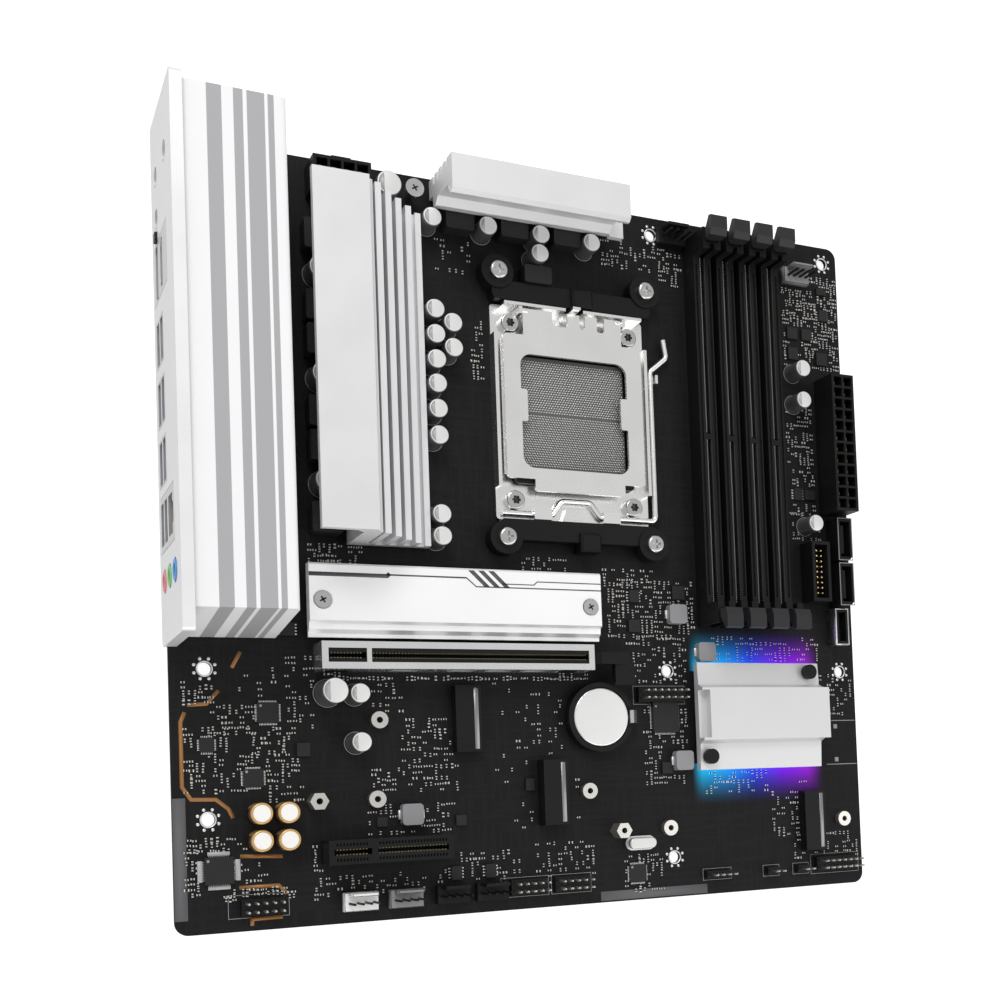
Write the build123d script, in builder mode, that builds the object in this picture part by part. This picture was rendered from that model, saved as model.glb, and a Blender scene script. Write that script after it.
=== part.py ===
from build123d import *
import os

# Micro-ATX computer motherboard, lying flat with its component side up (+Z).
# Places are worked out from the rear corner at the processor end, on the component side:
# X runs from the rear (ports) edge to the front edge, and Y is negative over the board.
# The written parts are moved so that their origin is the rear mounting hole at that end,
# again on the component side. Everything is in millimetres.

# ---------------------------------------------------------------- driving dimensions
board_size = 243.84          # 9.6 in, the micro-ATX square
board_t = 1.6
corner_r = 4.0
hole_r = 1.98                # 0.156 in mounting holes
hole_rear_x = 10.16
hole_mid_x = 165.1
hole_front_x = 237.49
hole_top_y = -6.35
hole_low_y = -163.83
hole_rear_low_y = -209.55
hole_mid_low_y = -229.87
hole_rear_top_x = 33.02
fit = 0.15                   # running clearance round anything that moves

socket_x = 131.4             # centre of the processor socket
socket_y = -76.4
frame_w = 56.0
frame_l = 73.2
frame_t = 1.2
socket_screw_dx = 43.4
socket_screw_dy = 60.4
cooler_dx = 54.0             # cooler bolt pattern
cooler_dy = 90.0
cooler_x = 132.15
cooler_y = -74.85
plate_z = 4.6                # underside of the load plate
plate_t = 1.2
plate_axis_y = -42.4
plate_axis_z = 5.2
lever_r = 1.05
lever_axis_y = -111.0
lever_axis_z = 2.4

dimm_x = 181.3               # centre of the first memory slot
dimm_pitch = 9.3
dimm_top_y = -7.0
dimm_low_y = -148.0
dimm_w = 7.0
dimm_h = 8.4
tower_l = 7.6
tower_h = 16.5
latch_axis_in = 3.2          # latch pivot, in from the end of the slot
latch_axis_z = 3.2

slot_x = 43.0                # rear end of both expansion slots
slot_w = 7.6
slot_h = 11.25
x16_y = -160.4
x16_l = 89.0
x4_y = -221.3
x4_l = 39.0

port_face = -1.0             # rear face of the port housings, level with the shield
shield_t = 0.8
shield_y0 = 1.5
shield_l = 158.75            # standard rear aperture, 158.75 x 44.45
shield_z0 = -3.8
shield_h = 44.45
display_y = -46.0
usb_ys = (-67.5, -85.5, -103.4)
lan_y = -121.6
jack_y = -138.6
jack_zs = (6.2, 17.6, 29.0)
button_y = -35.4
button_z = 6.0

cell_x = 137.2
cell_y = -180.2
cell_r = 10.0
cell_t = 3.2

solid_cap_r = 3.15
solid_caps = [(101.5, -16.0), (120.1, -16.0), (119.5, -22.6), (138.6, -16.0), (82.6, -16.0),
              (82.6, -46.4), (88.4, -50.3), (82.6, -54.7), (88.4, -58.6), (82.6, -63.0),
              (82.6, -71.0), (82.6, -79.3), (82.6, -88.0), (82.6, -113.8), (82.6, -121.0),
              (222.1, -50.8), (221.9, -62.7), (224.9, -108.9), (54.7, -172.0), (54.7, -187.3)]
large_caps = [(46.4, -171.4), (68.0, -8.6)]
audio_caps = [(24.4, -208.3), (32.4, -208.3), (24.4, -216.6), (32.4, -216.6)]

os.makedirs("parts", exist_ok=True)


datum = Location((-hole_rear_top_x, -hole_top_y, 0))


def save(builder, name):
    piece = builder.part.moved(datum)
    piece.label = name
    export_step(piece, f"parts/{name}.step")


# ---------------------------------------------------------------- circuit board
mount_holes = [(hole_rear_top_x, hole_top_y), (hole_mid_x, hole_top_y), (hole_front_x, hole_top_y),
               (hole_rear_x, hole_low_y), (hole_mid_x, hole_low_y), (hole_front_x, hole_low_y),
               (hole_rear_x, hole_rear_low_y), (hole_mid_x, hole_mid_low_y)]
stud_hole_r = 2.15
socket_hole_r = 1.6
with BuildPart() as pcb:
    with BuildSketch(Plane.XY.offset(-board_t)):
        with Locations((board_size / 2, -board_size / 2)):
            RectangleRounded(board_size, board_size, corner_r)
        with Locations(*mount_holes):
            Circle(hole_r, mode=Mode.SUBTRACT)
        with Locations((cooler_x, cooler_y)):
            with GridLocations(cooler_dx, cooler_dy, 2, 2):
                Circle(stud_hole_r, mode=Mode.SUBTRACT)
        with Locations((socket_x, socket_y)):
            with GridLocations(socket_screw_dx, socket_screw_dy, 2, 2):
                Circle(socket_hole_r, mode=Mode.SUBTRACT)
    extrude(amount=board_t)
save(pcb, "pcb")

# ---------------------------------------------------------------- rear port shield
# A thin plate with a rim round it, pierced for every port.
rim_t = 0.6
rim_d = 2.6
port_gap = 0.2
usb_w = 13.6
usb_h = 15.8
lan_w = 16.4
lan_h = 29.0
display_w = 17.6
display_h = 27.2
jack_w = 12.0
jack_bore_r = 1.85
jack_ring_r = 3.6
antenna_ys = (-17.1, -29.9)
antenna_z = 6.2
antenna_r = 3.2
with BuildPart() as io_shield:
    with BuildSketch(Plane.YZ.offset(port_face)):
        with Locations((shield_y0 - shield_l / 2, shield_z0 + shield_h / 2)):
            RectangleRounded(shield_l, shield_h, 2.0)
    extrude(amount=shield_t)
    with BuildSketch(Plane.YZ.offset(port_face + shield_t)):
        with Locations((shield_y0 - shield_l / 2, shield_z0 + shield_h / 2)):
            RectangleRounded(shield_l, shield_h, 2.0)
            RectangleRounded(shield_l - 2 * rim_t, shield_h - 2 * rim_t, 1.4, mode=Mode.SUBTRACT)
    extrude(amount=rim_d)
    with BuildSketch(Plane.YZ.offset(port_face)):
        with Locations(*[(y, usb_h / 2 + 0.1) for y in usb_ys]):
            Rectangle(usb_w + 2 * port_gap, usb_h + 2 * port_gap)
        with Locations((lan_y, lan_h / 2 + 0.1)):
            Rectangle(lan_w + 2 * port_gap, lan_h + 2 * port_gap)
        with Locations((display_y, display_h / 2 + 0.1)):
            Rectangle(display_w + 2 * port_gap, display_h + 2 * port_gap)
        with Locations(*[(jack_y, z) for z in jack_zs]):
            Circle(jack_ring_r)
        with Locations(*[(y, antenna_z) for y in antenna_ys]):
            Circle(antenna_r)
        with Locations((antenna_ys[0], 26.0)):
            Circle(antenna_r)
        with Locations((button_y, button_z)):
            RectangleRounded(3.6, 4.4, 0.6)
    extrude(amount=shield_t, mode=Mode.SUBTRACT)
    # room for the edge of the board where the rim crosses it
    with BuildSketch(Plane.XY.offset(-board_t - 0.3)):
        with Locations((rim_d, -board_size / 2)):
            Rectangle(2 * rim_d + 0.2, board_size + 0.2)
    extrude(amount=board_t + 0.6, mode=Mode.SUBTRACT)
save(io_shield, "io_shield")

# ---------------------------------------------------------------- rear ports
usb_depth = 17.5
usb_cell_w = 12.6
usb_cell_h = 5.4
usb_rows = (4.3, 11.9)
with BuildPart() as usb_stacks:
    with BuildSketch(Plane.YZ.offset(port_face)):
        with Locations(*[(y, usb_h / 2) for y in usb_ys]):
            RectangleRounded(usb_w, usb_h, 0.6)
    extrude(amount=usb_depth)
    with BuildSketch(Plane.YZ.offset(port_face)):
        with Locations(*[(y, z) for y in usb_ys for z in usb_rows]):
            Rectangle(usb_cell_w, usb_cell_h)
    extrude(amount=12.0, mode=Mode.SUBTRACT)
save(usb_stacks, "usb_stacks")

with BuildPart() as lan_usb_stack:
    with BuildSketch(Plane.YZ.offset(port_face)):
        with Locations((lan_y, lan_h / 2)):
            RectangleRounded(lan_w, lan_h, 0.6)
    extrude(amount=21.0)
    with BuildSketch(Plane.YZ.offset(port_face)):
        with Locations(*[(lan_y, z) for z in usb_rows]):
            Rectangle(usb_cell_w, usb_cell_h)
        with Locations((lan_y, 21.6)):
            Rectangle(11.8, 8.4)
        with Locations((lan_y, 26.6)):
            Rectangle(6.0, 1.8)
    extrude(amount=12.0, mode=Mode.SUBTRACT)
save(lan_usb_stack, "lan_usb_stack")

display_socket_d = 10.0
display_sockets = [
    (15.4, [(-7.1, 2.3), (-7.1, -0.6), (-5.4, -2.3), (5.4, -2.3), (7.1, -0.6), (7.1, 2.3)]),
    (5.4, [(-8.1, 2.4), (-8.1, -0.4), (-6.2, -2.4), (8.1, -2.4), (8.1, 2.4)]),
]
with BuildPart() as display_ports:
    with BuildSketch(Plane.YZ.offset(port_face)):
        with Locations((display_y, display_h / 2)):
            RectangleRounded(display_w, display_h, 0.6)
    extrude(amount=18.0)
    # wide socket with sloped lower corners above, one with a single cut corner below
    for socket_z, outline in display_sockets:
        with BuildSketch(Plane.YZ.offset(port_face)):
            with BuildLine():
                Polyline(*[(display_y + across, socket_z + up) for across, up in outline], close=True)
            make_face()
        extrude(amount=display_socket_d, mode=Mode.SUBTRACT)
save(display_ports, "display_ports")

with BuildPart() as audio_jacks:
    with BuildSketch(Plane.YZ.offset(port_face + shield_t + 0.2)):
        with Locations((jack_y, 16.9)):
            RectangleRounded(jack_w, 33.8, 0.8)
    extrude(amount=13.0)
    with BuildSketch(Plane.YZ.offset(port_face + 0.2)):
        with Locations(*[(jack_y, z) for z in jack_zs]):
            Circle(jack_ring_r - 0.3)
    extrude(amount=shield_t + 0.4)
    with BuildSketch(Plane.YZ.offset(port_face + 0.2)):
        with Locations(*[(jack_y, z) for z in jack_zs]):
            Circle(jack_bore_r)
    extrude(amount=11.0, mode=Mode.SUBTRACT)
save(audio_jacks, "audio_jacks")

# small push switch behind its slot in the shield
switch_x = 1.2
button_travel = 0.5
with BuildPart() as bios_switch:
    with BuildSketch(Plane.XY):
        with Locations((switch_x + 3.2, button_y)):
            RectangleRounded(6.4, 3.2, 0.4)
    extrude(amount=9.2)
save(bios_switch, "bios_switch")

with BuildPart() as bios_button:
    with BuildSketch(Plane.YZ.offset(port_face - 0.7)):
        with Locations((button_y, button_z)):
            RectangleRounded(2.8, 3.6, 0.5)
    extrude(amount=switch_x - button_travel - 0.1 - (port_face - 0.7))
save(bios_button, "bios_button")

# ---------------------------------------------------------------- rear cover shell
cover_x0 = 2.4
cover_x1 = 31.1
cover_y0 = -0.6
cover_y1 = -154.2
cover_h = 38.6
cover_t = 1.6
end_lean = 4.0               # the low end wall leans in by this much at the top
with BuildPart() as io_cover:
    with BuildSketch(Plane.YZ.offset(cover_x0)):
        with BuildLine():
            Polyline((cover_y0, 0), (cover_y0, cover_h), (cover_y1 + end_lean, cover_h),
                     (cover_y1, 0), close=True)
        make_face()
    extrude(amount=cover_x1 - cover_x0)
    long_edges = io_cover.edges().filter_by(Axis.Y).group_by(Axis.Z)[-1]
    fillet(long_edges.sort_by(Axis.X)[-1], radius=1.6)
    with BuildSketch(Plane.YZ.offset(cover_x0 - 1)):
        with BuildLine():
            Polyline((cover_y0 - cover_t, -1), (cover_y0 - cover_t, cover_h - cover_t),
                     (cover_y1 + end_lean + cover_t, cover_h - cover_t), (cover_y1 + cover_t, -1), close=True)
        make_face()
    extrude(amount=cover_x1 - cover_x0 + 1 - cover_t, mode=Mode.SUBTRACT)
save(io_cover, "io_cover")

# ---------------------------------------------------------------- regulator heatsinks
sink_y0 = -15.2
sink_y1 = -124.4
sink_top = 30.0
sink_x1 = 79.2               # edge of the sink on the processor side
fin_count = 5
fin_x0 = 59.6
fin_pitch = 4.4
fin_top = 25.5
fin_drop = 4.6
with BuildPart() as vrm_heatsink_left:
    with BuildSketch(Plane.XZ.offset(-sink_y0)):
        with BuildLine():
            Polyline((39.7, sink_top), (56.8, sink_top), (56.8, 27.6), (58.6, 26.4), (58.6, 5.2),
                     (sink_x1, 5.2), (sink_x1, 2.6), (53.2, 2.6), (53.2, 24.6), (51.0, 27.4), (39.7, 27.4),
                     close=True)
        make_face()
        for i in range(fin_count):
            x = fin_x0 + 0.9 + fin_pitch * i
            top = fin_top - fin_drop * i
            with Locations((x, (top + 5.2) / 2)):
                Rectangle(1.9, top - 5.2)
    extrude(amount=sink_y0 - sink_y1)
save(vrm_heatsink_left, "vrm_heatsink_left")

top_x0 = 83.4
top_x1 = 144.8
with BuildPart() as vrm_heatsink_top:
    with BuildSketch(Plane.YZ.offset(top_x0)):
        with BuildLine():
            Polyline((-2.4, 28.0), (-13.6, 28.0), (-14.8, 26.6), (-14.8, 25.2), (-11.2, 23.0),
                     (-10.4, 12.4), (-12.6, 9.8), (-12.6, 7.2), (-8.6, 7.2), (-8.6, 3.2),
                     (-2.4, 3.2), close=True)
        make_face()
    extrude(amount=top_x1 - top_x0)
    with BuildSketch(Plane.XY.offset(7.2)):
        with Locations((top_x1 + 2.6, -9.4)):
            Rectangle(5.2, 8.0)
    extrude(amount=2.4)
    # cooling grooves along the rear side
    with BuildSketch(Plane.YZ.offset(top_x0)):
        with Locations(*[(-2.4, 8.6 + 4.4 * i) for i in range(4)]):
            Rectangle(5.6, 1.8)
    extrude(amount=top_x1 - top_x0, mode=Mode.SUBTRACT)
save(vrm_heatsink_top, "vrm_heatsink_top")

# ---------------------------------------------------------------- small board components
choke_s = 9.6
choke_h = 6.6
top_chokes = [(92.6, -13.6), (111.5, -13.6), (130.3, -13.6)]
under_caps = [-38.0, -71.6, -105.2]
side_chokes = [y + step for y in under_caps for step in (11.4, -11.4)]
under_x = 46.8
with BuildPart() as chokes:
    with BuildSketch(Plane.XY):
        with Locations(*top_chokes):
            RectangleRounded(choke_s, 8.6, 0.8)
        with Locations((119.3, -29.3)):
            RectangleRounded(choke_s, 6.0, 0.8)
        with Locations(*[(under_x, y) for y in side_chokes]):
            RectangleRounded(choke_s, choke_s, 0.8)
    extrude(amount=choke_h)
    chamfer(chokes.faces().sort_by(Axis.Z)[-1:].edges(), length=0.5)
save(chokes, "chokes")

# flat chip packages: centre x, centre y, length in x, length in y, height
mosfet_rows = [(60.0, y, 5.0, 6.0, 1.0) for y in side_chokes]
top_mosfets = [(x, -5.2, 5.0, 6.0, 1.0) for x, y in top_chokes]
chips = [(28.2, -177.4, 6.4, 6.4, 0.9), (10.2, -187.0, 4.2, 4.4, 1.0), (23.4, -197.4, 6.0, 5.6, 0.9),
         (12.8, -225.0, 8.4, 8.2, 1.4), (38.4, -189.0, 4.0, 4.2, 1.2), (62.2, -212.6, 3.2, 3.0, 0.8),
         (85.8, -230.3, 3.4, 4.4, 1.4), (97.4, -230.3, 3.4, 4.4, 1.4), (150.4, -234.6, 6.2, 6.2, 0.9),
         (152.8, -137.6, 3.6, 4.2, 1.4), (152.6, -148.0, 4.4, 4.4, 0.9), (163.2, -180.4, 10.0, 10.6, 1.4),
         (170.2, -135.8, 4.8, 4.8, 0.9), (236.4, -27.0, 3.6, 4.2, 1.4), (236.2, -17.6, 4.2, 2.4, 1.0),
         (222.6, -35.2, 4.4, 4.4, 0.9), (228.8, -35.2, 4.2, 4.2, 0.9), (222.6, -43.0, 4.2, 4.6, 0.9),
         (235.0, -44.0, 4.6, 4.8, 1.2), (222.2, -96.8, 3.4, 4.4, 1.0), (227.2, -96.8, 4.4, 3.6, 1.0),
         (34.6, -151.4, 4.4, 4.0, 1.2), (163.2, -198.2, 3.8, 4.0, 0.9), (88.0, -213.2, 3.4, 3.4, 0.9),
         (112.0, -202.4, 3.0, 4.0, 1.0)]
chipset_x = 199.4
chipset_y = -180.2
with BuildPart() as ic_packages:
    for x, y, w, l, h in mosfet_rows + top_mosfets + chips + [(chipset_x, chipset_y, 19.0, 19.0, 2.0)]:
        with Locations((x, y, h / 2)):
            Box(w, l, h)
save(ic_packages, "ic_packages")

with BuildPart() as inductors:
    for x, y in [(71.5, -210.6), (168.8, -143.7), (169.1, -195.8), (179.7, -157.1)]:
        with BuildSketch(Plane.XY):
            with Locations((x, y)):
                RectangleRounded(6.8, 6.8, 1.2)
        extrude(amount=3.4)
save(inductors, "inductors")

with BuildPart() as crystal:
    with BuildSketch(Plane.XY):
        with Locations((151.8, -224.1)):
            SlotOverall(11.2, 4.9)
    extrude(amount=0.7)
    with BuildSketch(Plane.XY):
        with Locations((151.8, -224.1)):
            SlotOverall(10.2, 3.9)
    extrude(amount=3.4)
    fillet(crystal.faces().sort_by(Axis.Z)[-1:].edges(), radius=0.5)
save(crystal, "crystal")

with BuildPart() as solid_capacitors:
    with BuildSketch(Plane.XY):
        with Locations(*solid_caps):
            Circle(solid_cap_r)
    extrude(amount=8.6)
    with BuildSketch(Plane.XY):
        with Locations(*large_caps):
            Circle(4.0)
    extrude(amount=11.6)
    with BuildSketch(Plane.XY):
        with Locations(*[(under_x, y) for y in under_caps]):
            Circle(4.0)
    extrude(amount=8.6)
    fillet(solid_capacitors.faces().filter_by(Plane.XY).filter_by(lambda f: f.center().Z > 1).edges(),
           radius=0.45)
save(solid_capacitors, "solid_capacitors")

with BuildPart() as audio_capacitors:
    with BuildSketch(Plane.XY):
        with Locations(*audio_caps):
            Circle(3.3)
    extrude(amount=7.6)
    fillet(audio_capacitors.faces().filter_by(Plane.XY).filter_by(lambda f: f.center().Z > 1).edges(),
           radius=0.5)
save(audio_capacitors, "audio_capacitors")

# ---------------------------------------------------------------- thermal pads
with BuildPart() as thermal_pads:
    with BuildSketch(Plane.XY.offset(1.0)):
        with Locations(*[(x, y) for x, y, w, l, h in mosfet_rows]):
            Rectangle(9.0, 9.0)
    extrude(amount=1.6)
    with BuildSketch(Plane.XY.offset(1.0)):
        with Locations(*[(x, y) for x, y, w, l, h in top_mosfets]):
            Rectangle(9.0, 5.0)
    extrude(amount=2.2)
    with BuildSketch(Plane.XY.offset(2.0)):
        with Locations((chipset_x, chipset_y)):
            Rectangle(20.0, 20.0)
    extrude(amount=1.0)
    with BuildSketch(Plane.XY.offset(3.8)):
        with Locations((88.0, -142.0)):
            Rectangle(76.0, 18.0)
    extrude(amount=1.0)
save(thermal_pads, "thermal_pads")

# ---------------------------------------------------------------- power connectors
# Shrouded headers with square cells and a locking ramp on one long side.
pin_pitch = 4.2
cell_s = 3.4
power_h = 12.8
atx_x = 236.4
atx_y = -78.6
eps_x = 53.0
eps_y = -8.6
with BuildPart() as atx_connector:
    with Locations((atx_x, atx_y, power_h / 2)):
        Box(9.6, 12 * pin_pitch + 1.2, power_h)
    with Locations((atx_x + 5.3, atx_y, power_h - 3.0)):
        Box(1.0, 6.0, 3.0)
    with BuildSketch(Plane.XY.offset(power_h)):
        with Locations((atx_x, atx_y)):
            with GridLocations(pin_pitch, pin_pitch, 2, 12):
                Rectangle(cell_s, cell_s)
    extrude(amount=-10.5, mode=Mode.SUBTRACT)
save(atx_connector, "atx_connector")

with BuildPart() as eps_connector:
    with Locations((eps_x, eps_y, power_h / 2)):
        Box(4 * pin_pitch + 1.2, 9.6, power_h)
    with Locations((eps_x, eps_y + 5.3, power_h - 3.0)):
        Box(6.0, 1.0, 3.0)
    with BuildSketch(Plane.XY.offset(power_h)):
        with Locations((eps_x, eps_y)):
            with GridLocations(pin_pitch, pin_pitch, 4, 2):
                Rectangle(cell_s, cell_s)
    extrude(amount=-10.5, mode=Mode.SUBTRACT)
save(eps_connector, "eps_connector")

with BuildPart() as power_pins:
    with BuildSketch(Plane.XY.offset(power_h - 10.5)):
        with Locations((atx_x, atx_y)):
            with GridLocations(pin_pitch, pin_pitch, 2, 12):
                Rectangle(1.07, 1.07)
        with Locations((eps_x, eps_y)):
            with GridLocations(pin_pitch, pin_pitch, 4, 2):
                Rectangle(1.07, 1.07)
    extrude(amount=7.5)
save(power_pins, "power_pins")

# ---------------------------------------------------------------- processor socket
body_w = 43.4
body_l = 49.0
body_h = 4.2
land_s = 40.4                # recess that takes the processor package
contact_s = 38.6
contact_z = 2.6
with BuildPart() as socket_body:
    with BuildSketch(Plane.XY):
        with Locations((socket_x, socket_y)):
            RectangleRounded(body_w, body_l, 1.5)
    extrude(amount=body_h)
    with BuildSketch(Plane.XY.offset(1.2)):
        with Locations((socket_x, socket_y)):
            RectangleRounded(land_s, land_s, 1.0)
    extrude(amount=body_h, mode=Mode.SUBTRACT)
save(socket_body, "socket_body")

with BuildPart() as socket_contacts:
    with BuildSketch(Plane.XY.offset(1.2)):
        with Locations((socket_x, socket_y)):
            RectangleRounded(contact_s, contact_s, 0.6)
    extrude(amount=contact_z - 1.2)
save(socket_contacts, "socket_contacts")

# stiffening frame: a sheet with turned-up edges, hinge ears and lever straps
frame_y1 = socket_y + frame_l / 2
frame_y0 = socket_y - frame_l / 2
frame_x0 = socket_x - frame_w / 2
frame_x1 = socket_x + frame_w / 2
wall_h = 5.0
ear_x = 18.8                 # hinge ear, out from the socket centre
straps = (-12.4, 12.8)       # lever straps, from the socket centre
with BuildPart() as socket_frame:
    with BuildSketch(Plane.XY):
        with Locations((socket_x, socket_y)):
            RectangleRounded(frame_w, frame_l, 1.2)
            RectangleRounded(body_w + 0.4, body_l + 0.4, 1.6, mode=Mode.SUBTRACT)
            with GridLocations(socket_screw_dx, socket_screw_dy, 2, 2):
                Circle(socket_hole_r, mode=Mode.SUBTRACT)
        # cradle that the lever's free end rests in
        with Locations((frame_x1 + 2.2, -60.0)):
            Rectangle(4.8, 3.0)
    extrude(amount=frame_t)
    with Locations((frame_x0 + 0.6, socket_y, (frame_t + wall_h) / 2)):
        Box(1.2, 52.0, wall_h - frame_t)
    with Locations((frame_x1 - 0.6, socket_y, (frame_t + wall_h) / 2)):
        Box(1.2, 52.0, wall_h - frame_t)
    with Locations((frame_x1 + 4.1, -60.0, 2.5)):
        Box(1.0, 3.0, 2.6)
    # hinge wall along the top edge, open in the middle for the sprung finger
    with Locations((socket_x - 13.6, frame_y1 - 0.5, 3.85), (socket_x + 14.8, frame_y1 - 0.5, 3.85)):
        Box(22.0, 1.0, 5.3)
    with Locations((socket_x + 0.4, frame_y1 - 0.5, 5.2)):
        Box(2.8, 1.0, 8.0)
    with Locations((socket_x - ear_x, plate_axis_y + 0.1, 3.85), (socket_x + ear_x, plate_axis_y + 0.1, 3.85)):
        Box(1.2, 2.6, 5.3)
    with BuildSketch(Plane.YZ.offset(socket_x - ear_x - 1)):
        with Locations((plate_axis_y, plate_axis_z)):
            Circle(0.95)
    extrude(amount=2 * ear_x + 2, mode=Mode.SUBTRACT)
    # straps over the lever's pivot bar
    with Locations(*[(socket_x + dx, lever_axis_y, 2.7) for dx in straps]):
        Box(6.4, 3.8, 3.0)
    # tongue in the bend of the lever
    with BuildSketch(Plane.XY.offset(frame_t)):
        with Locations((socket_x + 0.2, -110.8)):
            Trapezoid(10.6, 4.4, 70)
    extrude(amount=1.6)
    with BuildSketch(Plane.YZ.offset(frame_x0)):
        with Locations((lever_axis_y, lever_axis_z)):
            Circle(lever_r + fit)
    extrude(amount=frame_w / 2 - 8.4, mode=Mode.SUBTRACT)
    with BuildSketch(Plane.YZ.offset(socket_x + 8.4)):
        with Locations((lever_axis_y, lever_axis_z)):
            Circle(lever_r + fit)
    extrude(amount=frame_w / 2 - 8.4, mode=Mode.SUBTRACT)
save(socket_frame, "socket_frame")

plate_w = 50.4
window = 38.8
neck_w = 36.0
with BuildPart() as load_plate:
    with BuildSketch(Plane.XY.offset(plate_z)):
        with Locations((socket_x, (-50.6 - 99.6) / 2)):
            RectangleRounded(plate_w, 49.0, 1.4)
        with Locations((socket_x, (-41.5 - 52.0) / 2)):
            RectangleRounded(neck_w, 10.5, 0.5)
        with Locations((socket_x + 1.0, (-98.0 - 103.6) / 2)):
            RectangleRounded(33.0, 5.6, 1.0)
        with Locations((socket_x, socket_y)):
            RectangleRounded(window, window, 4.0, mode=Mode.SUBTRACT)
        # locating tabs half way down each side of the window
        with Locations((socket_x - window / 2 + 0.6, -74.6), (socket_x + window / 2 - 0.9, -74.6)):
            RectangleRounded(3.2, 11.0, 0.8)
        # relief slots beside the hinge
        with Locations((socket_x - 4.6, -43.6)):
            RectangleRounded(5.6, 5.4, 0.8, mode=Mode.SUBTRACT)
        with Locations((socket_x + 3.6, -43.6)):
            RectangleRounded(2.0, 5.4, 0.8, mode=Mode.SUBTRACT)
        with Locations((socket_x + 10.4, -43.8)):
            RectangleRounded(2.8, 5.6, 0.8, mode=Mode.SUBTRACT)
    extrude(amount=plate_t)
    # folded side flanges
    with Locations((socket_x - plate_w / 2 + 0.5, -75.0, 3.8), (socket_x + plate_w / 2 - 0.5, -75.0, 3.8)):
        Box(1.0, 46.0, 2.4)
    # hinge pins at the corners of the neck
    with BuildSketch(Plane.YZ.offset(socket_x - neck_w / 2 - 1.2)):
        with Locations((plate_axis_y, plate_axis_z)):
            Circle(0.8)
    extrude(amount=3.0)
    with BuildSketch(Plane.YZ.offset(socket_x + neck_w / 2 - 1.8)):
        with Locations((plate_axis_y, plate_axis_z)):
            Circle(0.8)
    extrude(amount=3.0)
save(load_plate, "load_plate")

arm_x = 161.6
crank_y = -106.0
with BuildPart() as socket_lever:
    with BuildLine(Plane.XY.offset(lever_axis_z)):
        FilletPolyline((frame_x0 + 1.6, lever_axis_y), (socket_x - 8.6, lever_axis_y),
                       (socket_x - 5.0, crank_y), (socket_x + 5.4, crank_y),
                       (socket_x + 9.0, lever_axis_y), (arm_x, lever_axis_y), (arm_x, -57.2),
                       (168.2, -51.6), (167.2, -45.2), radius=1.9)
    with BuildSketch(Plane(origin=(frame_x0 + 1.6, lever_axis_y, lever_axis_z), z_dir=(1, 0, 0))):
        Circle(lever_r)
    sweep()
save(socket_lever, "socket_lever")

# six-lobed screws that hold the frame, through the board into the back plate
with BuildPart() as socket_screws:
    with BuildSketch(Plane.XY.offset(frame_t)):
        with Locations((socket_x, socket_y)):
            with GridLocations(socket_screw_dx, socket_screw_dy, 2, 2):
                Circle(3.2)
    extrude(amount=2.6)
    fillet(socket_screws.faces().sort_by(Axis.Z)[-4:].edges(), radius=0.6)
    with BuildSketch(Plane.XY.offset(frame_t)):
        with Locations((socket_x, socket_y)):
            with GridLocations(socket_screw_dx, socket_screw_dy, 2, 2):
                Circle(1.45)
    extrude(amount=-frame_t - board_t - 1.0)
    with BuildSketch(Plane.XY.offset(frame_t + 2.6)):
        with Locations((socket_x, socket_y)):
            with GridLocations(socket_screw_dx, socket_screw_dy, 2, 2):
                Circle(0.9)
                with PolarLocations(1.1, 6):
                    Circle(0.42)
    extrude(amount=-1.4, mode=Mode.SUBTRACT)
save(socket_screws, "socket_screws")

# ---------------------------------------------------------------- cooler brackets
boss_r = 5.6
bracket_h = 5.2
boss_h = 5.8
screw_y1 = cooler_y + cooler_dy / 2
screw_y0 = cooler_y - cooler_dy / 2
bar_gap = 0.3


def bracket(bar_y, bar_l, lug_y, screw_y):
    with BuildPart() as made:
        with BuildSketch(Plane.XY):
            with Locations((cooler_x, bar_y)):
                RectangleRounded(cooler_dx + 4.0, bar_l, 2.0)
        extrude(amount=bracket_h)
        with BuildSketch(Plane.XY):
            with Locations((cooler_x - cooler_dx / 2, screw_y), (cooler_x + cooler_dx / 2, screw_y)):
                Circle(boss_r)
        extrude(amount=boss_h)
        with BuildSketch(Plane.XY):
            with Locations((cooler_x + 3.0, lug_y)):
                Rectangle(7.6, 6.4)
        extrude(amount=7.0)
        chamfer(made.faces().filter_by(Plane.XY).sort_by(Axis.Z)[-1:].edges(), length=0.8)
        with BuildSketch(Plane.XY):
            with Locations((cooler_x - cooler_dx / 2, screw_y), (cooler_x + cooler_dx / 2, screw_y)):
                Circle(2.3)
        extrude(amount=boss_h, mode=Mode.SUBTRACT)
    return made


cooler_bracket_top = bracket(-35.8, 6.4, -35.6, screw_y1)
save(cooler_bracket_top, "cooler_bracket_top")
cooler_bracket_bottom = bracket(frame_y0 - bar_gap - 3.6, 7.0, -120.4, screw_y0)
save(cooler_bracket_bottom, "cooler_bracket_bottom")

with BuildPart() as cooler_screws:
    with BuildSketch(Plane.XY.offset(boss_h)):
        with Locations((cooler_x, cooler_y)):
            with GridLocations(cooler_dx, cooler_dy, 2, 2):
                Circle(3.1)
    extrude(amount=2.2)
    fillet(cooler_screws.faces().sort_by(Axis.Z)[-4:].edges(), radius=0.9)
    with BuildSketch(Plane.XY.offset(boss_h)):
        with Locations((cooler_x, cooler_y)):
            with GridLocations(cooler_dx, cooler_dy, 2, 2):
                Circle(1.5)
    extrude(amount=-7.0)
    with BuildSketch(Plane.XY.offset(boss_h + 2.2)):
        with Locations((cooler_x, cooler_y)):
            with GridLocations(cooler_dx, cooler_dy, 2, 2):
                Rectangle(3.2, 0.7)
                Rectangle(0.7, 3.2)
    extrude(amount=-1.3, mode=Mode.SUBTRACT)
save(cooler_screws, "cooler_screws")

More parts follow.
